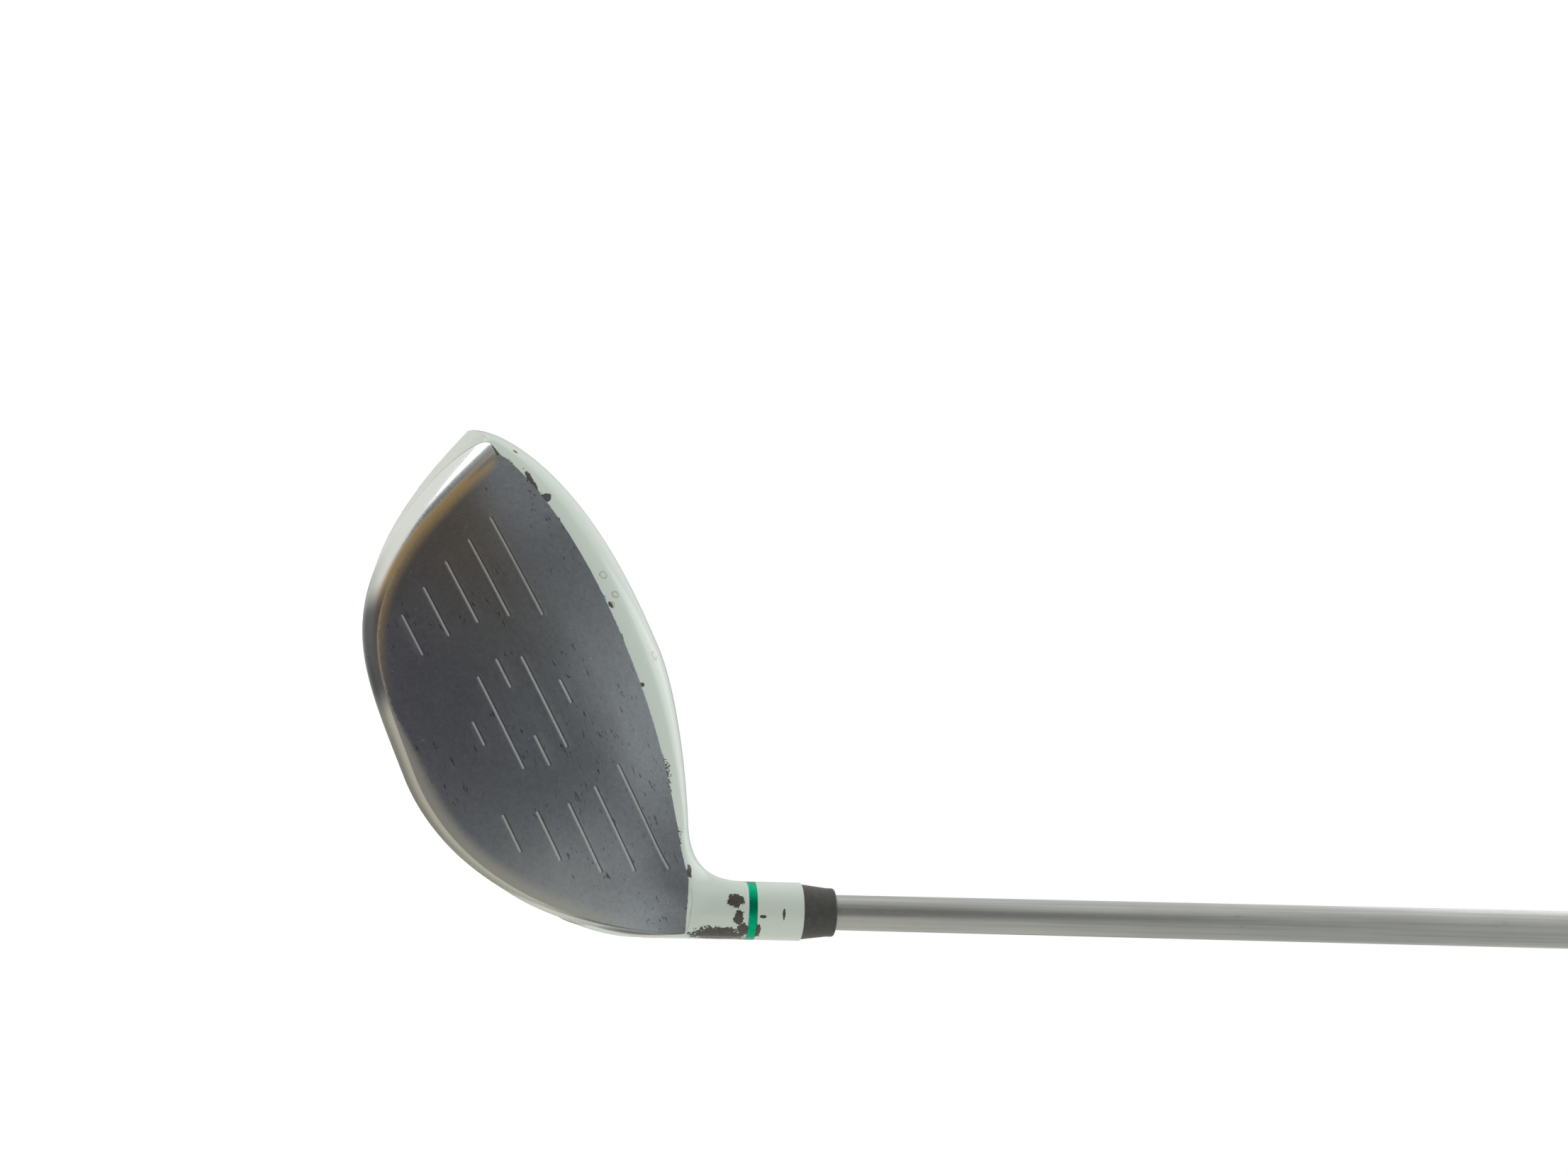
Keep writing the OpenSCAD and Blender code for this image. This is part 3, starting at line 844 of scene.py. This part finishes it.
def rounded_box(a0, a1, g0, g1, radius, step=1.2):
    """A closed loop round a box in the flat plane, with round corners."""
    x0, x1, y0, y1 = a0 * U, a1 * U, g0 * DEPTH, g1 * DEPTH
    right, left, top, bottom = x1 - radius, x0 + radius, y1 - radius, y0 + radius
    corners = [(right, bottom, -90), (right, top, 0), (left, top, 90), (left, bottom, 180)]
    points = []
    for cx, cy, turn in corners:
        for k in np.linspace(0, 90, 9):
            t = math.radians(turn + k)
            points.append((cx + radius * math.cos(t), cy + radius * math.sin(t)))
    points = np.array(points)
    index = even(points, step, closed=True)[:-1]
    closed = np.vstack([points, points[:1]])
    k = np.arange(len(closed))
    return np.stack([np.interp(index, k, closed[:, 0]), np.interp(index, k, closed[:, 1])], -1)


def flat_from(points, a_range, g_range):
    """The flat places of points that lie on the head, by a search and a few Newton steps."""
    a, g = np.meshgrid(np.arange(*a_range, 1.0), np.arange(*g_range, 0.01))
    known = head_point(a, g).reshape(-1, 3)
    near = np.array([np.argmin(((known - p) ** 2).sum(1)) for p in points])
    q = np.stack([a.ravel()[near], g.ravel()[near]], -1)
    for _ in range(12):
        here = head_point(q[:, 0], q[:, 1])
        da = (head_point(q[:, 0] + 0.01, q[:, 1]) - here) / 0.01
        dg = (head_point(q[:, 0], q[:, 1] + 1e-4) - here) / 1e-4
        miss = points - here
        aa, ab, bb = (da * da).sum(1), (da * dg).sum(1), (dg * dg).sum(1)
        ra, rb = (da * miss).sum(1), (dg * miss).sum(1)
        det = aa * bb - ab * ab
        q = q + np.stack([(bb * ra - ab * rb) / det, (aa * rb - ab * ra) / det], -1)
    return flat_of(q[:, 0], q[:, 1])


def skin_tree():
    a, g = np.meshgrid(np.arange(-150, 60, 0.75), np.linspace(0.01, 0.95, 240))
    points = head_point(a, g).reshape(-1, 3)
    return BVHTree.FromPolygons(points.tolist(), grid_faces(*a.shape).tolist())


lower_skin = skin_tree()


def round_hole(centre, axis, radius, count):
    """Where a round cutter along axis, coming from below, meets the head's outer skin."""
    axis = axis / np.linalg.norm(axis)
    side = np.cross(axis, [0, 1, 0] if abs(axis[1]) < 0.5 else [1, 0, 0])
    side /= np.linalg.norm(side)
    other = np.cross(axis, side)
    out = []
    for t in np.linspace(0, 2 * math.pi, count, endpoint=False):
        start = centre + radius * (math.cos(t) * side + math.sin(t) * other)
        hit = lower_skin.ray_cast(Vector(start - 60 * axis), Vector(axis))[0]
        out.append(np.array(hit))
    return np.array(out)


PORT_R = 4.4
BORE_R = 5.75
SEAT_LOW = 40.4
PAD_R = 10.0
WEIGHT_PORT_R = 8.85
PORT_AT = np.array([-4.0, 50.0, 5.9])
PORT_OUT = np.array([0.0, math.sin(math.radians(16)), -math.cos(math.radians(16))])
PLATE = (-139.0, -41.0, 0.215, 0.86)
PLATE_CORNER = 9.0
NECK_A = (-30.0, 50.0)
NECK_G = 0.30
NECK_ROWS = 64
CUT = 90.0
GAP = 0.12

port_edge = round_hole(FOOT, ALONG, PORT_R + 0.15, 72)
port_flat = flat_from(port_edge, (-100, 20), (0.02, 0.5))


def below_seam(a):
    """Flat places along the paint's edge: at the face's edge, or a gap past the band."""
    return flat_of(a, seam_g(a) + GAP / DEPTH * (seam_at(a) > 0))


def neck_loop():
    """The edge of the neck's patch in the flat plane: the paint line, then up, back and down again."""
    low, high = NECK_A
    paint = below_seam(np.concatenate([[low], EDGE_A[(EDGE_A > low) & (EDGE_A < high)], [high]]))
    g = np.linspace(paint[-1, 1] / DEPTH, NECK_G, 34)[1:]
    upper = flat_of(high, g)
    back = np.arange(high - 1.2, low + 0.5, -1.2)
    far = flat_of(back, NECK_G)
    g = np.linspace(NECK_G, paint[0, 1] / DEPTH, 30)[:-1]
    lower = flat_of(low, g)
    return paint, np.vstack([paint, upper, far, lower])


def line_distance(points):
    """Distance from each point to the paint line along the face's top edge."""
    a = np.arange(1.0, 178.0, 0.25)
    line = settle(head_point(a, 0 * a))
    parts = np.array_split(points, 1 + len(points) // 4000)
    return np.sqrt(np.concatenate([((p[:, None] - line[None]) ** 2).sum(2).min(1) for p in parts]))


def neck_patch(neck):
    """Rows of points from the patch's edge up to the hosel's top, over its rounded lip and down its bore."""
    rim = settle(surface_at(neck))
    q = rim - FOOT
    across = around(np.arctan2(q @ BACK, q @ DOWN))
    top_ring = FOOT + HOSEL_TOP * ALONG + HOSEL_R * across
    d0 = np.linalg.norm(rim - NECK_CORE, axis=1, keepdims=True)
    d1 = np.linalg.norm(top_ring - NECK_CORE, axis=1, keepdims=True)
    r0, r1 = (rim - NECK_CORE) / d0, (top_ring - NECK_CORE) / d1
    angle = np.arccos(np.clip((r0 * r1).sum(1, keepdims=True), -1, 1))
    rows = [rim]
    for t in np.arange(1, NECK_ROWS) / NECK_ROWS:
        t = t * 0.75 + 0.25 * t * t * (3 - 2 * t)
        ray = (np.sin((1 - t) * angle) * r0 + np.sin(t * angle) * r1) / np.sin(angle)
        rows.append(outward(NECK_CORE + ray * mix(d0, d1, t) * 0.9, 40))
    rows.append(top_ring)
    lip = [(HOSEL_R - 0.04, -0.06), (HOSEL_R - 0.12, 0.0), (BORE_R + 0.25, 0.0), (BORE_R + 0.06, -0.06)]
    for radius, w in lip + [(BORE_R, -0.26), (BORE_R, -26.56)]:
        rows.append(FOOT + (HOSEL_TOP + w) * ALONG + radius * across)
    return np.array(rows)


def body_skin():
    """Flat places over the whole body but the neck's patch, which is a notch in the lower edge."""
    paint, neck = neck_loop()
    a = EDGE_A[(EDGE_A > -270) & (EDGE_A < 90)]
    toe_row = below_seam(np.concatenate([[-270.0], a[a < NECK_A[0]]]))
    notch = np.vstack([paint[:1], neck[len(paint) - 1 :][::-1]])
    crown_row = flat_of(np.concatenate([a[a > NECK_A[1]], [CUT]]), 0.0)
    side_g = np.linspace(0, 1, 61)[1:] ** 1.15
    right = flat_of(CUT, side_g)
    top = flat_of(np.append(np.arange(CUT - 3, -270, -3.0), -270.0), 1.0)
    left = flat_of(-270.0, side_g[::-1][1:])
    inner = []
    low, high, tail = np.linspace(0.012, 0.2, 18), np.linspace(0.212, 0.95, 52), [0.75, 0.5, 0.3, 0.15, 0.05]
    for k, g in enumerate(np.concatenate([low, high, 1 - 0.05 * np.array(tail)])):
        step = 1.5 if g < 0.6 else 2.0 if g < 0.9 else 4.0
        row = np.arange(-270 + step * (0.5 + 0.5 * (k % 2)), CUT - 0.4 * step, step)
        inner.append(flat_of(row, g))
    outer = np.vstack([toe_row, notch, crown_row, right, top, left])
    holes = [rounded_box(*PLATE, PLATE_CORNER), port_flat]
    toe_end, crown_start = len(toe_row) + 1, len(toe_row) + len(notch) - 1
    skin = filled(outer, holes, np.vstack(inner), 0.6)
    return skin, slice(0, toe_end), slice(crown_start, crown_start + len(crown_row) + 1)


def make_body(material):
    (flat, triangles, loops), toe_edge, crown_edge = body_skin()
    shape = Shape()
    shape.points = settle(surface_at(flat))
    normals = shape.skin(triangles, CORE)

    paint, neck = neck_loop()
    block = neck_patch(neck)
    patch_points = block.reshape(-1, 3)
    patch = shape.add(patch_points, [])
    n = len(neck)
    i, j = (k.ravel() for k in np.meshgrid(np.arange(n), np.arange(len(block) - 1)))
    k = (i + 1) % n
    quads = np.stack([j * n + i, j * n + k, (j + 1) * n + k, (j + 1) * n + i], -1)
    patch_normals = vertex_normals(patch_points, quads[: 60 * n])
    if np.sum(patch_normals * (patch_points - NECK_CORE)) < 0:
        quads = quads[:, ::-1]
        patch_normals = -patch_normals
    shape.faces += [tuple(f) for f in (quads + patch[0]).tolist()]
    normals = np.vstack([normals, patch_normals])
    start, rim = patch[: len(paint)], patch_points[: len(paint)]
    slope = [melted(rim + step) - melted(rim - step) for step in 0.2 * np.eye(3)]
    normals[start] = np.stack(slope, -1) / np.linalg.norm(slope, axis=0)[:, None]

    shape.fold(loops[0][toe_edge], normals, 1.4, closed=False)
    shape.fold(start, normals, 1.2, closed=False)
    shape.fold(loops[0][crown_edge], normals, 1.2, closed=False)
    shape.fold(loops[1], normals, SHELL, crease=0.1)
    shape.fold(loops[2], normals, 0.6, crease=0.12)
    shape.layers["from_line"] = line_distance(shape.points)
    nodes = ["crown", "skirt", "hosel"]
    shape.build("painted_body", material, "head", nodes, weld=0.004)


def make_sole():
    """The sole plate, with round holes for the pad and the weight's port."""
    outline = rounded_box(*PLATE, PLATE_CORNER)
    toward = outline - outline.mean(0)
    outline = outline - 0.22 * toward / np.linalg.norm(toward, axis=1, keepdims=True)
    pad = round_hole(np.zeros(3), np.array([0, 0, 1.0]), PAD_R + GAP, 72)
    port = round_hole(PORT_AT, -PORT_OUT, WEIGHT_PORT_R, 72)
    holes = [flat_from(hole, (-180, 0), (0.05, 0.95)) for hole in (pad, port)]
    inner = []
    for k, g in enumerate(np.linspace(PLATE[2] + 0.005, PLATE[3] - 0.005, 54)):
        row = np.arange(PLATE[0] + 0.5 + 0.75 * (k % 2), PLATE[1], 1.5)
        inner.append(flat_of(row, g))
    flat, triangles, loops = filled(outline, holes, np.vstack(inner), 0.6)
    shape = Shape()
    shape.points = surface_at(flat)
    normals = shape.skin(triangles, CORE)
    for loop in loops:
        shape.fold(loop, normals, SHELL, crease=0.1)
    brushed = {"stretch": (1.0, 0.08, 1.0), "scale": 1.5, "metallic": 0.6, "spots": 0.4}
    material = worn_metal("sole_dark", (0.045, 0.047, 0.052), (0.28, 0.45), **brushed)
    shape.build("sole_shell", material, "head", ["sole_plate"])


def make_port_wall():
    """The screw's way in: a round wall from the heel's skin up to the sleeve's seat."""
    q = port_edge - FOOT
    w = (q @ ALONG)[:, None] + 0.35
    across = around(np.arctan2(q @ BACK, q @ DOWN))
    rows = [FOOT + w * ALONG + (PORT_R + 0.2) * across]
    for t in (0.02, 0.1, 0.4, 0.7, 1.0):
        rows.append(FOOT + mix(w, SEAT_LOW, t) * ALONG + PORT_R * across)
    for height in (SEAT_LOW, 46.0):
        rows.append(FOOT + height * ALONG + BORE_R * across)
    shape = Shape()
    loops = [shape.add(row, []) for row in rows]
    for first, second in zip(loops, loops[1:]):
        shape.strip(first, second)
    # painted light: the wall is a paler grey than the bare metal's own dark tone, so that its shaded bore
    # shows less dark
    material = worn_metal("port_metal", (0.7, 0.7, 0.69), (0.4, 0.6), scale=1.0)
    shape.build("screw_port", material, "head", ["hosel_tube"])


# Round pieces on the shaft's axis
def rounded(corners):
    """A profile with its corners rounded, and a support point beside each so that the flats stay flat."""
    out = []
    places = np.array([corner[:2] for corner in corners], float)
    for p, before, after, corner in zip(places, np.roll(places, 1, 0), np.roll(places, -1, 0), corners):
        before, after = before - p, after - p
        lb, la = np.linalg.norm(before), np.linalg.norm(after)
        if corner[2] <= 0:
            out.append(p)
            continue
        r = min(corner[2], 0.4 * lb, 0.4 * la)
        before, after = before / lb, after / la
        first, last = p + before * r, p + after * r
        pad = min(0.12, 0.08 * lb, 0.08 * la)
        out.append(first + before * pad)
        for t in np.linspace(0, 1, 5):
            out.append((1 - t) ** 2 * first + 2 * t * (1 - t) * p + t * t * last)
        out.append(last + after * pad)
    return np.array(out)


def lathe(name, corners, material, node, body="shaft_assembly", turns=144):
    """A closed profile turned round the shaft's axis. Corners are (radius, place along it, rounding)."""
    profile = rounded(corners)
    if double_area(profile) < 0:
        profile = profile[::-1]
    across = around(np.linspace(0, 2 * math.pi, turns, endpoint=False))
    shape = Shape()
    rows = [shape.add(FOOT + w * ALONG + radius * across, []) for radius, w in profile]
    for j in range(len(rows)):
        shape.strip(rows[j - 1], rows[j])
    shape.build(name, material, body, [node])


def on_axis(name):
    """A material with places along the shaft's axis: X and Y across it, Z along it."""
    n = Surface(name)
    n.place = n.turned(n.math_vector("SUBTRACT", n.place, tuple(FOOT)), -30)
    return n


def shaft_paint():
    """Silver-grey lacquer with lengthwise streaks, faint bands, dark chips and scratches."""
    n = on_axis("shaft_lacquer")
    streak = n.noise(1.3, stretch=(1.0, 1.0, 0.012))
    base = n.blend(n.step(streak, 0.3, 0.7), (0.45, 0.445, 0.43), (0.56, 0.56, 0.545))
    base = n.over(base, (0.40, 0.38, 0.35), n.step(n.noise(0.02, detail=3.0), 0.4, 0.7), 0.35)
    base = n.overlay(0.12, base, n.noise(12.0, detail=2.0), (0.35, 0.3), (0.65, 0.7))
    chip = n.plus(n.cells(0.62, (1.0, 1.0, 0.6)), n.times(n.noise(2.4, detail=3.0), 0.12))
    spot = n.times(n.step(chip, 0.25, 0.2), n.step(n.noise(0.05, detail=1.0), 0.52, 0.6))
    base = n.over(base, (0.035, 0.033, 0.032), spot, 0.85)
    scratch = n.noise(0.9, stretch=(1.6, 1.6, 0.1), detail=2.0, roughness=0.8)
    line = n.times(n.step(scratch, 0.70, 0.73), n.step(n.noise(0.08, detail=1.0), 0.5, 0.6))
    base = n.over(base, (0.12, 0.115, 0.11), line, 0.6)
    n.bump(n.minus(n.times(n.noise(0.7, detail=2.0), 0.1), spot), 0.06, 0.5)
    rough = n.lerp(n.step(n.noise(1.1), 0.4, 0.7), 0.3, 0.38)
    return n.set(Base_Color=base, Roughness=rough, Metallic=0.85, Coat_Weight=0.35, Coat_Roughness=0.12)


def ferrule_plastic():
    n = on_axis("ferrule_satin")
    rings = n.noise(5.0, stretch=(0.15, 0.15, 1.0))
    dust = n.noise(0.7, detail=6.0, roughness=0.7)
    base = n.blend(n.step(dust, 0.35, 0.7), (0.06, 0.059, 0.054), (0.085, 0.082, 0.075))
    base = n.over(base, (0.11, 0.107, 0.1), n.step(rings, 0.55, 0.7), 0.3)
    n.bump(rings, 0.02, 0.35)
    return n.set(Base_Color=base, Roughness=n.lerp(dust, 0.36, 0.55))


def green_metal():
    n = on_axis("ring_anodised")
    lines = n.noise(7.0, stretch=(0.1, 0.1, 1.0))
    wear = n.noise(0.9, detail=5.0, roughness=0.7)
    base = n.blend(n.step(wear, 0.35, 0.7), (0.0, 0.42, 0.2), (0.005, 0.5, 0.25))
    base = n.over(base, (0.25, 0.3, 0.26), n.step(wear, 0.68, 0.74), 0.7)
    n.bump(lines, 0.02, 0.4)
    return n.set(Base_Color=base, Roughness=n.lerp(lines, 0.26, 0.4), Metallic=1.0)


def grip_rubber(name, woven=True):
    """Dark rubber, with a small woven pattern in raised blocks and dust in the hollows if asked for."""
    n = on_axis(name)
    x, y, w = n.parts()
    grain = n.noise(3.2, detail=6.0, roughness=0.7)
    dust = n.noise(0.12, detail=5.0, roughness=0.65)
    base = n.blend(n.step(dust, 0.35, 0.75), (0.012, 0.012, 0.013), (0.03, 0.03, 0.031))
    height = n.times(grain, 0.15)
    if woven:
        ply, rise = n.times(n.math("ARCTAN2", y, x), 14 / math.pi), n.times(w, 0.45)
        strands = [n.math("PINGPONG", strand, 0.5) for strand in (n.plus(ply, rise), n.minus(ply, rise))]
        weave = n.fold("MINIMUM", [n.step(strand, 0.05, 0.15) for strand in strands])
        plain = n.step(n.math("PINGPONG", n.times(w, 1 / 33), 0.5), 0.08, 0.06)
        weave = n.math("MAXIMUM", weave, plain)
        height = n.plus(height, weave)
        base = n.over(base, (0.055, 0.053, 0.05), n.minus(1.0, weave), 0.5)
    n.bump(height, 0.35, 0.8)
    return n.set(Base_Color=base, Roughness=n.lerp(grain, 0.6, 0.85))


def make_round_pieces():
    """Lengths along the axis are those of the solids: ring, collar, ferrule, shaft, grip and cap."""
    top, tip, belly, butt, end = 80.1, 88.6, 588.0, 1150.0, 1152.5
    ring = [(6.46, 66.52, 0.05), (HOSEL_R, 66.52, 0.12), (HOSEL_R, 68.58, 0.12), (6.46, 68.58, 0.05)]
    lathe("sleeve_ring", ring, green_metal(), "trim_ring", body="ring")
    collar = [(4.3, 68.6, 0), (HOSEL_R, 68.6, 0.12), (HOSEL_R, top, 0.12), (4.3, top, 0)]
    paint = gloss_paint("collar_paint", COLLAR_CHIPS, edge=False)
    lathe("collar", collar, paint, "sleeve_collar")
    ferrule = [(4.3, top, 0), (6.65, top, 0.15), (5.85, top + 6.6, 0.5), (5.85, tip, 0.85), (4.3, tip, 0)]
    lathe("ferrule_ring", ferrule, ferrule_plastic(), "ferrule")
    outside = [(3.05, 56.5, 0.1), (4.25, 56.5, 0.2), (4.25, tip, 0), (6.15, belly, 0), (7.6, butt, 0.1)]
    bore = [(6.4, butt, 0.1), (4.95, belly, 0), (3.05, tip, 0)]
    lathe("shaft_tube", outside + bore, shaft_paint(), "shaft")
    low_r = 6.15 + (888.0 - belly) * (7.6 - 6.15) / (butt - belly) + 0.35
    outside = [(low_r, 888.0, 0.1), (9.6, 888.0, 1.6), (12.2, 1122.0, 6.0), (13.0, 1144.0, 4.0)]
    inside_wall = [(13.0, end, 0.25), (7.95, end, 0.1), (7.95, butt, 0), (low_r, 890.0, 0)]
    lathe("grip_sleeve", outside + inside_wall, grip_rubber("grip_weave"), "grip")
    cap = [(1.6, end, 0.1), (13.0, end, 0.25), (13.0, 1156.0, 1.6), (1.6, 1156.0, 0.35)]
    lathe("butt_cap", cap, grip_rubber("cap_rubber", woven=False), "grip_cap")


# Pieces that keep their solid's own mesh
def dress(node, material):
    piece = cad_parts[node]
    piece.data.materials.clear()
    piece.data.materials.append(material)


def foam():
    n = Surface("plug_foam")
    cells = n.cells(1.4)
    base = n.blend(n.step(cells, 0.2, 0.6), (0.5, 0.46, 0.36), (0.66, 0.62, 0.5))
    n.bump(cells, 0.3, 0.8)
    return n.set(Base_Color=base, Roughness=n.lerp(cells, 0.8, 0.95))


def paper_tape():
    n = on_axis("grip_tape")
    crepe = n.noise(2.2, stretch=(0.3, 0.3, 1.0), detail=5.0)
    base = n.blend(crepe, (0.55, 0.48, 0.32), (0.72, 0.66, 0.5))
    n.bump(crepe, 0.1, 0.6)
    return n.set(Base_Color=base, Roughness=n.lerp(crepe, 0.65, 0.85))


def dress_solids():
    brushed = {"stretch": (0.05, 1.0, 1.0), "scale": 1.6, "spots": 0.5}
    dress("sole_pad", worn_metal("pad_brushed", (0.5, 0.5, 0.51), (0.25, 0.42), **brushed))
    seat = worn_metal("seat_metal", (0.36, 0.36, 0.37), (0.35, 0.5), scale=1.0)
    dress("screw_seat", seat)
    port = worn_metal("port_ring", (0.2, 0.2, 0.21), (0.3, 0.45), scale=1.3, spots=0.3)
    dress("weight_port", port)
    weight = worn_metal("weight_dark", (0.07, 0.07, 0.075), (0.3, 0.5), metallic=0.8, spots=0.3)
    dress("weight_cartridge", weight)
    threaded = {"stretch": (1.0, 1.0, 0.3), "scale": 2.0, "spots": 0.3}
    steel = worn_metal("screw_steel", (0.4, 0.39, 0.37), (0.22, 0.38), **threaded)
    for node in ("weight_screw", "hosel_screw", "screw_washer"):
        dress(node, steel)
    turned = {"stretch": (1.0, 1.0, 0.4), "scale": 1.5}
    barrel = worn_metal("sleeve_aluminium", (0.62, 0.62, 0.63), (0.25, 0.4), **turned)
    dress("sleeve_barrel", barrel)
    dress("tip_plug", foam())
    dress("grip_tape", paper_tape())


# Camera, light and floor
def make_camera():
    camera = bpy.data.objects.new("camera", bpy.data.cameras.new("camera"))
    bpy.context.scene.collection.objects.link(camera)
    right = Vector((0.45567, -0.17316, 0.87315))
    down = Vector((0.88928, 0.13183, -0.43794))
    ahead = Vector((-0.03927, 0.97603, 0.21406))
    turn = Matrix((right, -down, -ahead)).transposed()
    place = Vector((13.65, -338.82, 33.47)) * MM
    camera.matrix_world = Matrix.Translation(place) @ turn.to_4x4()
    camera.data.lens = 29.295
    camera.data.sensor_width = 36.0
    camera.data.clip_start = 0.01
    bpy.context.scene.camera = camera


def make_world():
    """White to the camera. For everything else, a pale studio with a dim corner in front of the face."""
    world = bpy.data.worlds.new("studio")
    bpy.context.scene.world = world
    n = Nodes(world, "ShaderNodeOutputWorld")
    ray = n.put("ShaderNodeTexCoord").outputs["Generated"]
    tone = ROOM
    for direction, wide, narrow, patch in SKY:
        near = n.math_vector("DOT_PRODUCT", ray, Vector(direction).normalized())
        wide, narrow = (math.cos(math.radians(angle)) for angle in (wide, narrow))
        tone = n.blend(n.step(near, wide, narrow), tone, patch)
    lit, seen = n.put("ShaderNodeBackground"), n.put("ShaderNodeBackground")
    n.link(tone, lit.inputs["Color"])
    seen.inputs["Color"].default_value = (1.0, 1.0, 1.0, 1.0)
    pick = n.put("ShaderNodeMixShader")
    n.link(n.put("ShaderNodeLightPath").outputs["Is Camera Ray"], pick.inputs[0])
    n.link(lit.outputs[0], pick.inputs[1])
    n.link(seen.outputs[0], pick.inputs[2])
    n.link(pick.outputs[0], n.out.inputs["Surface"])


# The room's own tone, then soft patches of light: direction, outer and inner angle, and colour.
ROOM = (0.46, 0.485, 0.475)
SKY = [
    ((0.15, 0.3, 1.0), 80, 30, (0.84, 0.86, 0.84)),
    ((0.25, 0.95, -0.05), 40, 15, (0.34, 0.34, 0.35)),
    ((-1.0, 0.25, 0.0), 42, 20, (1.75, 1.77, 1.8)),
    ((-0.40, -0.91, -0.06), 58, 8, (0.085, 0.083, 0.087)),
]


def area_light(name, place, aim, size, power, tone=(1, 1, 1)):
    data = bpy.data.lights.new(name, "AREA")
    data.shape = "RECTANGLE"
    data.size, data.size_y = size
    data.energy = power
    data.color = tone
    light = bpy.data.objects.new(name, data)
    light.location = Vector(place)
    light.rotation_euler = (Vector(aim) - Vector(place)).to_track_quat("-Z", "Y").to_euler()
    bpy.context.scene.collection.objects.link(light)


def make_floor():
    mesh = bpy.data.meshes.new("floor")
    reach = 12.0
    corners = [(-reach, -reach, 0), (reach, -reach, 0), (reach, reach, 0), (-reach, reach, 0)]
    mesh.from_pydata(corners, [], [(0, 1, 2, 3)])
    n = Surface("floor_paper")
    fibre = n.noise(0.6)
    base = n.blend(fibre, (0.68, 0.67, 0.62), (0.73, 0.72, 0.67))
    n.shader.inputs["Emission Color"].default_value = (1.0, 1.0, 1.0, 1.0)
    seen = n.put("ShaderNodeLightPath").outputs["Is Camera Ray"]
    glow = n.lerp(seen, 0.12, 1.0)
    mesh.materials.append(n.set(Base_Color=base, Roughness=n.lerp(fibre, 0.75, 0.9), Emission_Strength=glow))
    floor = bpy.data.objects.new("floor", mesh)
    bpy.context.scene.collection.objects.link(floor)


# Stains: centre and size. Chips: centre, half sizes and turn about Y, where -30 degrees turns the third
# size along the shaft.
STAINS = (
    ((-21.7, -26.4, 63.1), 1.1),
    ((-16.1, -26.6, 63.6), 1.1),
    ((-14.1, -27.5, 61.6), 0.9),
    ((1.6, -24.0, 65.6), 1.3),
)
BODY_CHIPS = (
    ((63.3, -26.3, 56.2), (1.6, 2.5, 2.0), -30),
    ((68.6, -24.4, 48.6), (2.5, 3.2, 6.6), -30),
    ((67.2, -26.8, 54.9), (1.9, 1.5, 1.2), -30),
    ((70.6, -25.6, 54.4), (2.2, 2.0, 1.4), -30),
    ((51.7, -27.6, 49.4), (1.6, 1.5, 0.7), -30),
    ((57.9, -28.0, 46.3), (0.35, 1.0, 0.5), -30),
    ((-50.0, -24.0, 57.9), (4.5, 1.3, 0.7), 0),
    ((-45.3, -24.7, 59.4), (1.0, 1.6, 1.4), 0),
    ((-59.7, -20.8, 58.0), (0.7, 0.7, 0.5), 0),
    ((-14.1, -27.6, 61.3), (0.9, 0.8, 0.5), 0),
    ((6.6, -28.2, 59.2), (0.6, 0.9, 0.7), 0),
)
COLLAR_CHIPS = (
    ((72.1, -25.3, 57.6), (2.0, 2.2, 0.9), -30),
    ((69.8, -26.9, 60.3), (0.4, 0.8, 0.8), -30),
    ((71.8, -26.9, 65.0), (1.3, 0.8, 0.35), -30),
)

make_face()
make_band()
make_body(gloss_paint("body_paint", BODY_CHIPS, STAINS))
make_sole()
make_port_wall()
make_round_pieces()
dress_solids()

make_floor()
make_camera()
make_world()
area_light("key", (0.3, 0.6, 1.6), (0, 0, 0.05), (1.2, 1.2), 3.2)
area_light("toe_side", (-1.4, -0.1, 0.7), (0, 0, 0.05), (0.9, 0.9), 0.1)
bpy.context.scene.view_settings.view_transform = "Standard"
